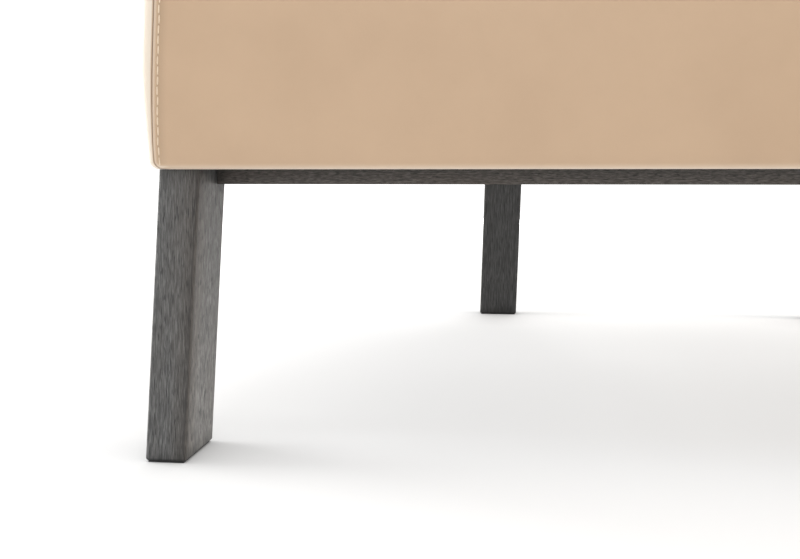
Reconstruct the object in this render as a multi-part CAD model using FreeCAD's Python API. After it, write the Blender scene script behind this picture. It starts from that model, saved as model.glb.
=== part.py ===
import FreeCAD, Part
import math
import os
from FreeCAD import Vector

# Club armchair, millimetres: X to the right, Y to the back, Z up, floor at Z = 0.

# Driving dimensions of the upholstered body
overall_width = 800.0
front_width = 789.0
body_depth = 716.0
back_height = 735.0
arm_height = 600.0
clearance = 180.0
apron_height = 122.0
arm_thickness = 110.0
back_thickness = 83.0
back_face_y = 195.0
side_length = 470.0
corner_radius = 240.0
back_radius = 2000.0
roll_radius = 35.0
panel_edge = 5.35
rise_start_y = -150.0
rise_end_y = 270.0

# Driving dimensions of the oak base
leg_width = 25.9
leg_depth = 54.0
leg_inset = 1.0
leg_setback = 8.0
leg_lean_side = math.tan(math.radians(2.58))
leg_lean_out = math.tan(math.radians(4.55))
rear_leg_width = 45.4
rear_leg_back = 660.0
rear_leg_inset = 171.7
rear_leg_lean_side = math.tan(math.radians(1.75))
leg_edge_radius = 1.8
glide_thickness = 1.0
glide_edge = 1.6
stub_inset = 5.0
rear_stub_width = 34.0
rear_stub_depth = 16.0
rail_setback = 35.0
rail_drop = 9.3
rail_thickness = 19.0
rear_rail_gap = 5.0

# Layers of the walls, as insets from the outer face
cover = 8.0
frame_out = 9.0
frame_in = 29.0
post_out = 10.0
post_in = 46.0
pad_out = 50.0
cap_depth = 60.0
cover_seam_drop = 36.0

# Heights of the hidden layers
frame_bottom = clearance + 2.0
frame_top = 270.0
rail_bottom = clearance - rail_drop
rail_top = 210.0
pad_bottom = 280.0
deck_top = clearance + apron_height + 1.0

# Places that follow from the above
foot_reach = clearance * leg_lean_out
front_y = -(body_depth + leg_setback - foot_reach) / 2
back_y = front_y + body_depth
panel_back_y = front_y + leg_setback
half_width = overall_width / 2
half_front = front_width / 2
inner_x = half_front - arm_thickness
side_bow = half_width - half_front
side_radius = (side_length ** 2 / 4 + side_bow ** 2) / (2 * side_bow)
side_centre = Vector(half_width - side_radius, front_y + side_length / 2, 0)
back_centre = Vector(0, back_y - back_radius, 0)
seam_y = front_y + side_length

panel_half = half_front - panel_edge
leg_x = panel_half - leg_inset
leg_inner_x = leg_x - leg_width
leg_back_y = panel_back_y + leg_depth
rail_front_y = panel_back_y + rail_setback
rail_back_y = rail_front_y + rail_thickness
rear_leg_x = leg_x - rear_leg_inset
rear_leg_mid_x = rear_leg_x - rear_leg_width / 2
rear_leg_y = panel_back_y + rear_leg_back
far = 1000.0

nodes = {}


# Helpers

def block(x, y, z):
    size = [high - low for low, high in (x, y, z)]
    return Part.makeBox(*size, Vector(x[0], y[0], z[0]))


def mirrored(shape):
    return shape.mirror(Vector(0, 0, 0), Vector(1, 0, 0))


def pair(shape):
    return Part.makeCompound([shape, mirrored(shape)])


def add_sides(name, right_shape):
    nodes[name + "_right"] = right_shape
    nodes[name + "_left"] = mirrored(right_shape)


def side_x(y, inset):
    return side_centre.x + math.sqrt((side_radius - inset) ** 2 - (y - side_centre.y) ** 2)


def flip(point):
    return Vector(-point.x, point.y, point.z)


def towards(start, end, length):
    return start + (end - start).normalize() * length


def arc(start, middle, end):
    return Part.Arc(start, middle, end).toShape()


def plan_face(inset, back_inset=None, rounding=None, start_y=panel_back_y):
    """The chair seen from above, drawn in by inset: bowed sides, round back corners, shallow back arc."""
    back_inset = inset if back_inset is None else back_inset
    rounding = corner_radius - inset if rounding is None else rounding
    side_r = side_radius - inset
    back_r = back_radius - back_inset

    # The corner arc touches the side arc and the back arc from inside.
    reach_side = side_r - rounding
    reach_back = back_r - rounding
    gap = (back_centre - side_centre).Length
    along = (reach_side ** 2 - reach_back ** 2 + gap ** 2) / (2 * gap)
    across = math.sqrt(reach_side ** 2 - along ** 2)
    axis = (back_centre - side_centre).normalize()
    corner = side_centre + axis * along + Vector(-axis.y, axis.x, 0) * across

    start = Vector(side_x(start_y, inset), start_y, 0)
    side_end = towards(side_centre, corner, side_r)
    back_end = towards(back_centre, corner, back_r)
    side_mid_y = (start.y + side_end.y) / 2
    side_mid = Vector(side_x(side_mid_y, inset), side_mid_y, 0)
    corner_mid = towards(corner, (side_end + back_end) / 2, rounding)
    back_mid = Vector(0, back_centre.y + back_r, 0)

    edges = [
        arc(start, side_mid, side_end),
        arc(side_end, corner_mid, back_end),
        arc(back_end, back_mid, flip(back_end)),
        arc(flip(back_end), flip(corner_mid), flip(side_end)),
        arc(flip(side_end), flip(side_mid), flip(start)),
        Part.makeLine(flip(start), start),
    ]
    return Part.Face(Part.Wire(edges))


def prism(face, z):
    face.translate(Vector(0, 0, z[0]))
    return face.extrude(Vector(0, 0, z[1] - z[0]))


def ring(outer_inset, inner_inset, z):
    """A wall running round both sides and the back, open at the front."""
    outer = prism(plan_face(outer_inset), z)
    inner = prism(plan_face(inner_inset, start_y=panel_back_y - 50), (z[0] - 1, z[1] + 1))
    return outer.cut(inner)


def right_part(shape, y=(-far, far), x=(0, far)):
    return shape.common(block(x, y, (0, far)))


def under_top(drop):
    """Everything below the top line, which is level on the arms and sweeps up to the back."""
    low, high = arm_height - drop, back_height - drop
    run, rise = rise_end_y - rise_start_y, back_height - arm_height
    radius = (run ** 2 + rise ** 2) / (4 * rise)
    turn = 2 * math.atan2(rise, run)

    def lower(angle):
        return Vector(-far, rise_start_y + radius * math.sin(angle), low + radius * (1 - math.cos(angle)))

    def upper(angle):
        return Vector(-far, rise_end_y - radius * math.sin(angle), high - radius * (1 - math.cos(angle)))

    front_top = Vector(-far, -far, low)
    back_top = Vector(-far, far, high)
    edges = [
        Part.makeLine(front_top, lower(0)),
        arc(lower(0), lower(turn / 2), lower(turn)),
        arc(lower(turn), upper(turn / 2), upper(0)),
        Part.makeLine(upper(0), back_top),
        Part.makeLine(back_top, Vector(-far, far, 0)),
        Part.makeLine(Vector(-far, far, 0), Vector(-far, -far, 0)),
        Part.makeLine(Vector(-far, -far, 0), front_top),
    ]
    return Part.Face(Part.Wire(edges)).extrude(Vector(2 * far, 0, 0))


def polygon_prism(points, z):
    corners = [Vector(x, y, z[0]) for x, y in points]
    face = Part.Face(Part.makePolygon(corners + corners[:1]))
    return face.extrude(Vector(0, 0, z[1] - z[0]))


# Fasteners

to_right, to_back = Vector(1, 0, 0), Vector(0, 1, 0)
dowel_radius, dowel_length = 4.0, 32.0
screw_radius, screw_head_radius, screw_head_height = 2.0, 4.2, 2.6
rail_screw_length, rear_screw_length = 45.0, 26.0
bolt_radius, bolt_head_radius, bolt_head_height = 4.0, 7.5, 5.3
block_width, block_depth = 50.0, 40.0
bolt_length = block_width + 14.0
block_inner_x = leg_inner_x - block_width
joint_y = (rail_front_y + leg_back_y) / 2
joint_z = (frame_top + rail_top) / 2
side_rail_front_x = leg_inner_x - 18.0
upper_dowel_z = rail_top - 9.0
lower_dowel_z = upper_dowel_z - 19.0


def wood_screw(base, direction, length):
    shank = Part.makeCylinder(screw_radius, length, base, direction)
    head = Part.makeCone(screw_head_radius, screw_radius, screw_head_height, base, direction)
    return shank.fuse(head)


def hex_bolt(base, length):
    """A bolt that runs in +X from base, its head on the near side."""
    angles = [math.radians(60 * side) for side in range(7)]
    rim = [base + Vector(0, math.cos(a), math.sin(a)) * bolt_head_radius for a in angles]
    head = Part.Face(Part.makePolygon(rim)).extrude(to_right * -bolt_head_height)
    return Part.makeCylinder(bolt_radius, length, base, to_right).fuse(head)


def dowel(middle, direction):
    start = middle - direction * (dowel_length / 2)
    return Part.makeCylinder(dowel_radius, dowel_length, start, direction)


rail_dowels = Part.makeCompound([
    pair(dowel(Vector(leg_inner_x, joint_y, upper_dowel_z), to_right)),
    pair(dowel(Vector(side_rail_front_x, rail_back_y, lower_dowel_z), to_back)),
    pair(dowel(Vector(rear_leg_mid_x, rear_leg_y - dowel_radius, upper_dowel_z), to_back)),
])
leg_bolts = pair(hex_bolt(Vector(block_inner_x, joint_y, joint_z), bolt_length))
rear_leg_screws = pair(Part.makeCompound([
    wood_screw(Vector(rear_leg_mid_x, rear_leg_y, height), to_back, rear_screw_length)
    for height in (rail_top + 12, rail_top + 30)
]))
rail_screws = Part.makeCompound([
    wood_screw(Vector(x, rail_back_y, rail_top - 14), to_back * -1, rail_screw_length)
    for x in (-240, -80, 80, 240)
])

fasteners = Part.makeCompound([rail_dowels, leg_bolts, rear_leg_screws, rail_screws])
nodes["rail_dowels"] = rail_dowels
nodes["front_leg_bolts"] = leg_bolts
nodes["rear_leg_screws"] = rear_leg_screws
nodes["rail_screws"] = rail_screws


# Oak legs and their glides

def leaning_plank(x, y, lean_x, lean_y):
    """A leg from its glide to the underside of the body, leaning out towards the floor."""
    def section(z):
        shift = Vector((clearance - z) * lean_x, (clearance - z) * lean_y, z)
        corners = [Vector(x[0], y[0], 0), Vector(x[1], y[0], 0), Vector(x[1], y[1], 0), Vector(x[0], y[1], 0)]
        return Part.makePolygon([corner + shift for corner in corners + corners[:1]])

    plank = Part.makeLoft([section(glide_thickness), section(clearance)], True, True)
    rounded = [edge for edge in plank.Edges if edge.CenterOfMass.z < clearance - 1]
    return plank.makeFillet(leg_edge_radius, rounded)


def glide(x, y, lean_x, lean_y):
    """A flat foot pad a little smaller than the leg's end, with the nail that holds it."""
    nail_radius, nail_length = 1.5, 18.0
    shift_x, shift_y = clearance * lean_x, clearance * lean_y
    pad_x = (x[0] + shift_x + glide_edge, x[1] + shift_x - glide_edge)
    pad_y = (y[0] + shift_y + glide_edge, y[1] + shift_y - glide_edge)
    pad = block(pad_x, pad_y, (0, glide_thickness))
    middle = Vector(sum(pad_x) / 2, sum(pad_y) / 2, glide_thickness)
    nail = Part.makeCylinder(nail_radius, nail_length, middle)
    return pad.fuse(nail)


front_x, front_range = (leg_inner_x, leg_x), (panel_back_y, leg_back_y)
rear_x = (rear_leg_x - rear_leg_width, rear_leg_x)
rear_range = (rear_leg_y, rear_leg_y + leg_width)

front_glide = glide(front_x, front_range, leg_lean_side, -leg_lean_out)
rear_glide = glide(rear_x, rear_range, rear_leg_lean_side, leg_lean_out)
nodes["front_glides"] = pair(front_glide)
nodes["rear_glides"] = pair(rear_glide)

# Each leg carries a stub that goes up into the seat frame.
front_stub = block((leg_inner_x, leg_x - stub_inset), front_range, (clearance, frame_top))
rear_stub_x = (rear_leg_mid_x - rear_stub_width / 2, rear_leg_mid_x + rear_stub_width / 2)
rear_stub = block(rear_stub_x, (rear_leg_y, rear_leg_y + rear_stub_depth), (clearance, frame_top - 20))

front_leg = leaning_plank(front_x, front_range, leg_lean_side, -leg_lean_out).fuse(front_stub)
rear_leg = leaning_plank(rear_x, rear_range, rear_leg_lean_side, leg_lean_out).fuse(rear_stub)
add_sides("front_leg", front_leg.cut(front_glide).cut(fasteners))
add_sides("rear_leg", rear_leg.cut(rear_glide).cut(fasteners))

# Oak rails: the side rails slant from the front rail to the rear legs
rail_z = (rail_bottom, rail_top)
front_rail = block((-leg_inner_x, leg_inner_x), (rail_front_y, rail_back_y), rail_z)
slant = (side_rail_front_x - rear_leg_mid_x) / (rear_leg_y - rail_back_y)
half_rail = rail_thickness / 2 * math.hypot(1, slant)


def side_rail_x(y):
    return side_rail_front_x - slant * (y - rail_back_y)


def cross_rail(y):
    """A rail across the chair whose ends meet the slanting side rails."""
    ends = [(side_rail_x(level) - half_rail, level) for level in y]
    return polygon_prism(ends + [(-x, level) for x, level in reversed(ends)], rail_z)


side_rail = polygon_prism(
    [(side_rail_x(level) + shift, level)
     for level, shift in ((rail_back_y, -half_rail), (rail_back_y, half_rail),
                          (rear_leg_y, half_rail), (rear_leg_y, -half_rail))],
    rail_z,
)
middle_rail = cross_rail((-rail_thickness / 2, rail_thickness / 2))
rear_rail_back_y = rear_leg_y - rear_rail_gap
rear_rail = cross_rail((rear_rail_back_y - rail_thickness, rear_rail_back_y))
base_rails = Part.makeCompound([front_rail, pair(side_rail), middle_rail, rear_rail])
nodes["front_rail"] = front_rail.cut(fasteners)
add_sides("side_rail", side_rail.cut(fasteners))
nodes["middle_rail"] = middle_rail
nodes["rear_rail"] = rear_rail.cut(fasteners)

# Seat frame
frame_z = (frame_bottom, frame_top)
frame_ring = ring(frame_out, frame_in, frame_z)
seat_front = block((-leg_inner_x, leg_inner_x), (panel_back_y, rail_front_y), frame_z)
rear_hoop = frame_ring.common(block((-far, far), (seam_y, far), (0, far)))
rear_hoop = rear_hoop.cut(pair(rear_stub))
nodes["seat_frame_front"] = seat_front.cut(fasteners)
add_sides("seat_frame", right_part(frame_ring, (leg_back_y, seam_y)))
nodes["seat_frame_rear_hoop"] = rear_hoop.cut(fasteners)

spring_rail_y = (back_face_y + 50, back_face_y + 75)
spring_rail = block((-far, far), spring_rail_y, (rail_top + 2, frame_top))
nodes["rear_spring_rail"] = spring_rail.common(prism(plan_face(frame_in), (0, far)))

corner_block_y = (rail_front_y, rail_front_y + block_depth)
corner_block = block((block_inner_x, leg_inner_x), corner_block_y, (rail_top + 3, frame_top - 5))
add_sides("corner_block", corner_block.cut(leg_bolts))
splice_reach = 35.0
splice_ring = ring(frame_in, pad_out - 1, (frame_bottom + 8, frame_top - 8))
nodes["splice_blocks"] = pair(right_part(splice_ring, (seam_y - splice_reach, seam_y + splice_reach)))

# Arm and back frame
board = 22.0
arm_rail_height = 25.0
play = 0.3
arm_frame_top = arm_height - cap_depth
arm_rail_z = (arm_frame_top - arm_rail_height, arm_frame_top)
post_x = (half_front - post_in + 1, half_front - frame_out)
front_post = block(post_x, (panel_back_y, panel_back_y + board), (frame_top, arm_frame_top))
add_sides("front_arm_post", front_post)
arm_rail_ring = ring(post_out, post_in, arm_rail_z)
add_sides("arm_rail", right_part(arm_rail_ring, (panel_back_y + board, seam_y)))
arm_post_ring = ring(post_out, post_in, (frame_top, arm_rail_z[0]))
add_sides("rear_arm_post", right_part(arm_post_ring, (seam_y - board, seam_y)))
arm_board_ring = ring(post_in + play, pad_out - play, (pad_bottom + 2, arm_rail_z[0]))
add_sides("arm_board", right_part(arm_board_ring, (panel_back_y, seam_y - board - 8)))

hoop_z = (back_height - 90, back_height - 65)
corner_post_y = (225.0, 250.0)
back_slat_x = (80.0, 120.0)
slat_ring = ring(post_in - board, post_in, (frame_top, hoop_z[0]))
add_sides("corner_post", right_part(slat_ring, corner_post_y))
add_sides("back_slat", right_part(slat_ring, (0, far), back_slat_x))
hoop_ring = ring(post_out, post_in, hoop_z)
nodes["upper_back_hoop"] = hoop_ring.common(block((-far, far), (corner_post_y[0], far), (0, far)))

strap_width, strap_pitch, strap_count, strap_sheet = 60.0, 90.0, 3, 2.0
strap_start = pad_bottom + 40
straps = []
for strap in range(strap_count):
    strap_low = strap_start + strap * strap_pitch
    strap_ring = ring(post_in + play, post_in + play + strap_sheet, (strap_low, strap_low + strap_width))
    straps.append(strap_ring.common(block((-far, far), (seam_y - board, far), (0, far))))
nodes["back_webbing"] = Part.makeCompound(straps)

# Sinuous seat springs and their clips
wire_radius, clip_sheet = 1.8, 1.5
spring_z = frame_top + clip_sheet + play + wire_radius
spring_front_y = rail_front_y - 10
spring_bends = 20
spring_pitch = (sum(spring_rail_y) / 2 - spring_front_y) / spring_bends
spring_half_bar = 18.0
spring_xs = (-200, -100, 0, 100, 200)


def sinuous_spring(x):
    """Straight bars across the seat, joined at alternate ends by half turns."""
    edges = []
    for bend in range(spring_bends + 1):
        side = 1 if bend % 2 == 0 else -1
        y = spring_front_y + bend * spring_pitch
        bar_end = Vector(x + side * spring_half_bar, y, spring_z)
        edges.append(Part.makeLine(Vector(x - side * spring_half_bar, y, spring_z), bar_end))
        if bend < spring_bends:
            turn_mid = bar_end + Vector(side * spring_pitch / 2, spring_pitch / 2, 0)
            edges.append(arc(bar_end, turn_mid, bar_end + Vector(0, spring_pitch, 0)))
    start = Vector(x - spring_half_bar, spring_front_y, spring_z)
    profile = Part.Wire(Part.makeCircle(wire_radius, start, to_right))
    return Part.Wire(edges).makePipeShell([profile], True, False)


def spring_clip(x, y, way):
    """A folded clip round a spring's end bar, open in the direction way."""
    half, depth = 8.0, 6.0
    top = spring_z + wire_radius + play
    floor_z = (frame_top, frame_top + clip_sheet)
    span = sorted((y - way * depth, y + way * depth))
    wall = sorted((y - way * depth, y - way * (depth - clip_sheet)))
    base = block((x - half, x + half), span, floor_z)
    back = block((x - half, x + half), wall, (frame_top, top + clip_sheet))
    tongue = block((x - half, x + half), span, (top, top + clip_sheet))
    return base.fuse(back).fuse(tongue).removeSplitter()


spring_rear_y = spring_front_y + spring_bends * spring_pitch
clips = [spring_clip(x, y, way) for x in spring_xs for y, way in ((spring_front_y, 1), (spring_rear_y, -1))]
nodes["seat_springs"] = Part.makeCompound([sinuous_spring(x) for x in spring_xs])
nodes["spring_clips"] = Part.makeCompound(clips)

# Upholstery of the arms and the back: one padded wall, divided at its seams
well = plan_face(arm_thickness, back_thickness, corner_radius / 2, panel_back_y - 50)
wall = prism(plan_face(0), (clearance, far)).cut(prism(well.copy(), (0, 2 * far)))
wall = wall.common(under_top(0))


def on_top_rim(edge):
    """The two lines where the top of the wall meets its outer and inner faces."""
    middle = edge.valueAt((edge.FirstParameter + edge.LastParameter) / 2)
    if middle.z < arm_height - 1:
        return False
    return max(abs(vertex.Point.y - middle.y) for vertex in edge.Vertexes) > 0.01


wall = wall.makeFillet(roll_radius, [edge for edge in wall.Edges if on_top_rim(edge)])

# The inside back leans: a wedge that is thickest at the seat and ends below the top roll
well_back_y = back_y - back_thickness
wedge_top = back_height - roll_radius - 10
wedge_profile = [
    Vector(-far, back_face_y, pad_bottom),
    Vector(-far, back_face_y, deck_top),
    Vector(-far, well_back_y, wedge_top),
    Vector(-far, far, wedge_top),
    Vector(-far, far, pad_bottom),
]
wedge = Part.Face(Part.makePolygon(wedge_profile + wedge_profile[:1])).extrude(Vector(2 * far, 0, 0))
wedge = wedge.common(prism(well.copy(), (0, 2 * far)))

cover_ring = ring(0, cover, (clearance, far)).common(under_top(cover_seam_drop))
hollow = ring(cover, pad_out, (0, far)).common(under_top(cap_depth))
hollow = hollow.fuse(block((-far, far), (-far, far), (0, pad_bottom)))
padding = wall.cut(cover_ring).cut(hollow)
back_half = block((-far, far), (seam_y, far), (0, far))

add_sides("outside_arm", right_part(wall.common(cover_ring), (-far, seam_y)))
nodes["outside_back"] = wall.common(cover_ring).common(back_half)
add_sides("inside_arm", right_part(padding, (-far, seam_y)))
nodes["inside_back"] = padding.common(back_half).fuse(wedge).removeSplitter()

# Front panel: both arm fronts and the apron in one piece
bottom_round, face_round = 6.0, 4.0


def front_panel_edges():
    """The right half's outline from the middle of the bottom edge to the middle of the apron's top."""
    def at(x, z):
        return Vector(x, panel_back_y, z)

    def bend(corner_x, corner_z, radius, start, end):
        diagonal = radius * math.sqrt(0.5)
        return arc(start, at(corner_x[0] + corner_x[1] * diagonal, corner_z[0] + corner_z[1] * diagonal), end)

    apron_top = clearance + apron_height
    outer, inner, top = panel_half, inner_x + panel_edge, arm_height - panel_edge
    low = bottom_round
    roll = roll_radius - panel_edge
    bottom = clearance
    turns = [
        ((outer - low, 1), (bottom + low, -1), low, at(outer - low, bottom), at(outer, bottom + low)),
        ((outer - roll, 1), (top - roll, 1), roll, at(outer, top - roll), at(outer - roll, top)),
        ((inner + roll, -1), (top - roll, 1), roll, at(inner + roll, top), at(inner, top - roll)),
    ]
    edges = []
    place = at(0, bottom)
    for corner_x, corner_z, radius, start, end in turns:
        edges.append(Part.makeLine(place, start))
        edges.append(bend(corner_x, corner_z, radius, start, end))
        place = end
    edges.append(Part.makeLine(place, at(inner, apron_top)))
    edges.append(Part.makeLine(at(inner, apron_top), at(0, apron_top)))
    return edges


half_panel = Part.Wire(front_panel_edges() + [Part.makeLine(
    Vector(0, panel_back_y, clearance + apron_height), Vector(0, panel_back_y, clearance))])
half_panel = Part.Face(half_panel).extrude(Vector(0, front_y - panel_back_y, 0))
front_panel = half_panel.fuse(mirrored(half_panel)).removeSplitter()
face_edges = [edge for edge in front_panel.Edges if abs(edge.BoundBox.YMax - front_y) < 0.01]
nodes["front_panel"] = front_panel.makeFillet(face_round, face_edges)

# Seat deck and dust cover
deck_gap = 0.5
deck_plan = plan_face(arm_thickness + deck_gap, back_thickness, corner_radius / 2)
hessian_z = (spring_z + wire_radius + 2 * play + clip_sheet, pad_bottom - deck_gap)
hessian = block((-inner_x, inner_x), (panel_back_y + 1, spring_rail_y[1]), hessian_z)
nodes["spring_hessian"] = hessian.common(prism(deck_plan.copy(), (0, far)))
deck = prism(deck_plan.copy(), (pad_bottom, deck_top))
nodes["deck_pad"] = deck.common(block((-far, far), (-far, back_face_y - deck_gap), (0, far)))

dust_sheet = 1.0
dust_bottom = frame_bottom - play - dust_sheet
dust_cover = prism(plan_face(cover + play), (dust_bottom, dust_bottom + dust_sheet))
dust_cover = dust_cover.cut(base_rails).cut(pair(front_stub)).cut(pair(rear_stub))
scrap_volume = 4000.0
nodes["dust_cover"] = Part.makeCompound([piece for piece in dust_cover.Solids if piece.Volume > scrap_volume])

# Loose seat cushion
cushion_gap = 2.0
cushion_front_y = front_y + 1
cushion_back_y = back_face_y - cushion_gap
cushion_bottom = deck_top + deck_gap
cushion_height = 126.0
cushion_crown = 16.0
cushion_edge = 14.0
cover_sheet = 6.0
edge_steps = 4
crown_steps = 4
pull_in = 4.0


def cushion_section(inset, z):
    """One level of the cushion: the sides follow the arms and the front pulls in between its corners."""
    front_r = max(26.0 - inset / 2, 6.0)
    back_r = max(70.0 - inset / 2, 10.0)
    side_inset = arm_thickness + cushion_gap + inset
    low, high = cushion_front_y + inset, cushion_back_y - inset

    def corner(y_line, way, radius):
        centre_y = y_line + way * radius
        on_side = Vector(side_x(centre_y, side_inset), centre_y, z)
        centre = on_side - Vector(radius, 0, 0)
        diagonal = radius * math.sqrt(0.5)
        middle = centre + Vector(diagonal, -way * diagonal, 0)
        return Vector(centre.x, y_line, z), middle, on_side

    front_start, front_mid, front_side = corner(low, 1, front_r)
    back_end, back_mid, back_side = corner(high, -1, back_r)
    side_mid_y = (front_side.y + back_side.y) / 2
    side_mid = Vector(side_x(side_mid_y, side_inset), side_mid_y, z)
    edges = [
        arc(flip(front_start), Vector(0, low + pull_in, z), front_start),
        arc(front_start, front_mid, front_side),
        arc(front_side, side_mid, back_side),
        arc(back_side, back_mid, back_end),
        Part.makeLine(back_end, flip(back_end)),
        arc(flip(back_end), flip(back_mid), flip(back_side)),
        arc(flip(back_side), flip(side_mid), flip(front_side)),
        arc(flip(front_side), flip(front_mid), flip(front_start)),
    ]
    return Part.Wire(edges)


def cushion_form(sheet):
    """The cushion, or with a sheet thickness the filling inside its cover."""
    bottom = cushion_bottom + sheet
    top = cushion_bottom + cushion_height - sheet
    levels = []
    for step in range(edge_steps + 1):
        angle = math.radians(90.0 * step / edge_steps)
        levels.append((cushion_edge * (1 - math.sin(angle)), bottom + cushion_edge * (1 - math.cos(angle))))
    for step in range(edge_steps + 1):
        angle = math.radians(90.0 * step / edge_steps)
        levels.append((cushion_edge * (1 - math.cos(angle)), top - cushion_edge * (1 - math.sin(angle))))
    crown_run = inner_x * 0.75
    for step in range(1, crown_steps + 1):
        part_way = step / crown_steps
        rise = cushion_crown * (1 - (1 - part_way) ** 2)
        levels.append((cushion_edge + crown_run * part_way, top + rise))
    sections = [cushion_section(inset + sheet, z) for inset, z in levels]
    return Part.makeLoft(sections, True, True)


cushion_core = cushion_form(cover_sheet)
nodes["cushion_foam_core"] = cushion_core
nodes["seat_cushion_cover"] = cushion_form(0).cut(cushion_core)

zip_z = cushion_bottom + cushion_height / 2
zip_y = cushion_back_y
zip_half, zip_width, zip_sheet = 150.0, 6.0, 1.0
pull_x = (zip_half - 12, zip_half - 6)
pull_y = (zip_y + zip_sheet + play, zip_y + 2 * zip_sheet)
zip_height = (zip_z - zip_width / 2, zip_z + zip_width / 2)
nodes["cushion_zip"] = block((-zip_half, zip_half), (zip_y, zip_y + zip_sheet), zip_height)
nodes["zip_pull"] = block(pull_x, pull_y, (zip_z - 2 * zip_width, zip_z + zip_width / 3))

# Write every node to its own file
os.makedirs("parts", exist_ok=True)
for name, shape in nodes.items():
    shape.exportStep("parts/" + name + ".step")
    print(name, "solids", len(shape.Solids), "valid", shape.isValid(), "litres", round(shape.Volume / 1e6, 4))
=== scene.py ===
import math

import bpy
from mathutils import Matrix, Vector, noise
from mathutils.bvhtree import BVHTree
from mathutils.kdtree import KDTree


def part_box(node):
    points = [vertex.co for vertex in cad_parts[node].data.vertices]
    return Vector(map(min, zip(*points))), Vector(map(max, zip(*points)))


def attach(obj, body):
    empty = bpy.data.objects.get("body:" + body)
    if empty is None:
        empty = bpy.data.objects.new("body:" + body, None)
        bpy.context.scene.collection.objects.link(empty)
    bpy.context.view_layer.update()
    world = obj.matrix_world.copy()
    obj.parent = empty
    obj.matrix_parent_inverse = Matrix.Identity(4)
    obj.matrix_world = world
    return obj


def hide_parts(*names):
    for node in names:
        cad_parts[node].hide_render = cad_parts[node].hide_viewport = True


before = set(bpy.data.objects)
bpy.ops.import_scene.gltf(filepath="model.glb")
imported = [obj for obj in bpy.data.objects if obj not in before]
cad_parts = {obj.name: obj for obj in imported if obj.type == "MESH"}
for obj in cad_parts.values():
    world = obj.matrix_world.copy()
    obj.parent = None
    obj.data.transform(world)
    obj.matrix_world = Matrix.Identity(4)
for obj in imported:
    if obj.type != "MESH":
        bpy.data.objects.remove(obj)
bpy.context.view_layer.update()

print("frame loaded:", len(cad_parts), "nodes")
nearly = 1e-5        # lengths closer than this count as equal


# everyday helpers

def pickOnly(piece):
    bpy.ops.object.select_all(action="DESELECT")
    piece.select_set(True)
    bpy.context.view_layer.objects.active = piece


def namePiece(name):
    piece = bpy.context.object
    piece.name = name
    piece.data.name = name
    return piece


def editMode():
    bpy.ops.object.mode_set(mode="EDIT")


def objectMode():
    bpy.ops.object.mode_set(mode="OBJECT")


def extrudeUp(distance):
    bpy.ops.mesh.extrude_region_move(TRANSFORM_OT_translate={"value": (0, 0, distance)})


def applyModifier(piece, kind, **settings):
    modifier = piece.modifiers.new(kind, kind)
    for key, value in settings.items():
        setattr(modifier, key, value)
    pickOnly(piece)
    bpy.ops.object.modifier_apply(modifier=modifier.name)


def smoothFaces(piece, degrees=50):
    pickOnly(piece)
    bpy.ops.object.shade_smooth_by_angle(angle=math.radians(degrees))


def thicken(piece, thickness):
    applyModifier(piece, "SOLIDIFY", thickness=thickness, offset=-1)
    smoothFaces(piece)


def dress(piece, body, slotName, material, *nodes):
    piece.data.materials.clear()
    piece.data.materials.append(material)
    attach(piece, body)
    if nodes:
        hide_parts(*nodes)


def mix(start, end, part):
    return start + (end - start) * part


def steps(start, end, count):
    return [mix(start, end, step / count) for step in range(count + 1)]


def rowsOf(kind, values):
    return [(kind, value) for value in values]


def radiansOf(angles):
    return [math.radians(angle) for angle in angles]


def easeStep(value, low, high):
    part = min(max((value - low) / (high - low), 0), 1)
    return part * part * (3 - 2 * part)


def bell(value, middle, width):
    return math.exp(-((value - middle) / width) ** 2)


def softMin(a, b, blend):
    near = max(blend - abs(a - b), 0) / blend
    return min(a, b) - near * near * blend / 4


def mirrorTo(point, side):
    return Vector((point.x * side, point.y, point.z))


def gridPiece(name, columns, rows, place, paintedHighlight=None):
    # a flat grid whose crossings are moved to where its columns and rows lie on the chair
    across, up = len(columns) - 1, len(rows) - 1
    bpy.ops.mesh.primitive_grid_add(x_subdivisions=across, y_subdivisions=up, size=1)
    piece = namePiece(name)
    shades = []
    for vertex in piece.data.vertices:
        column = columns[round((vertex.co.x + 0.5) * across)]
        row = rows[round((vertex.co.y + 0.5) * up)]
        vertex.co, seamDistance = place(column, row)
        shade = paintedSeamShading(seamDistance)
        # outside the groove, a painted highlight can lift the seam shading
        if paintedHighlight and shade > seam["grooveTone"]:
            shade = max(shade, paintedHighlight(column))
        shades.append(shade)
    markSeams(piece, shades)
    return piece


# stores the painted seam shading that the leather's colour reads
def markSeams(piece, shades):
    attribute = piece.data.attributes.new("seamShadeAndHighlight", "FLOAT", "POINT")
    attribute.data.foreach_set("value", shades)


def faceAway(piece, inside):
    # turns the faces away from a point that lies behind them
    outward = sum((face.center - inside).dot(face.normal) * face.area for face in piece.data.polygons)
    if outward < 0:
        piece.data.flip_normals()


# seams: the leather dips into them, stands up beside them and is topstitched a little further in
seam = {
    "reach": 0.0022,
    "depth": 0.0020,
    "grooveTone": -0.2,         # darker than this is down in the groove, whose painted shade the painted wrap highlight never covers
    "ridge": 0.0013,
    "ridgeWidth": 0.0005,
    # painted highlight on the ridge beside the seam
    "ridgeHighlight": 0.60,
    "stitchAway": 0.0037,
    # painted shade along the stitch line, beside the stitches and at their holes
    "stitchShade": 0.16,
    "stitchWidth": 0.0009,
}


def seamDip(distance):
    if distance >= seam["reach"]:
        return 0
    part = 1 - max(distance, 0) / seam["reach"]
    return seam["depth"] * (1 - math.sqrt(1 - part * part))


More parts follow.
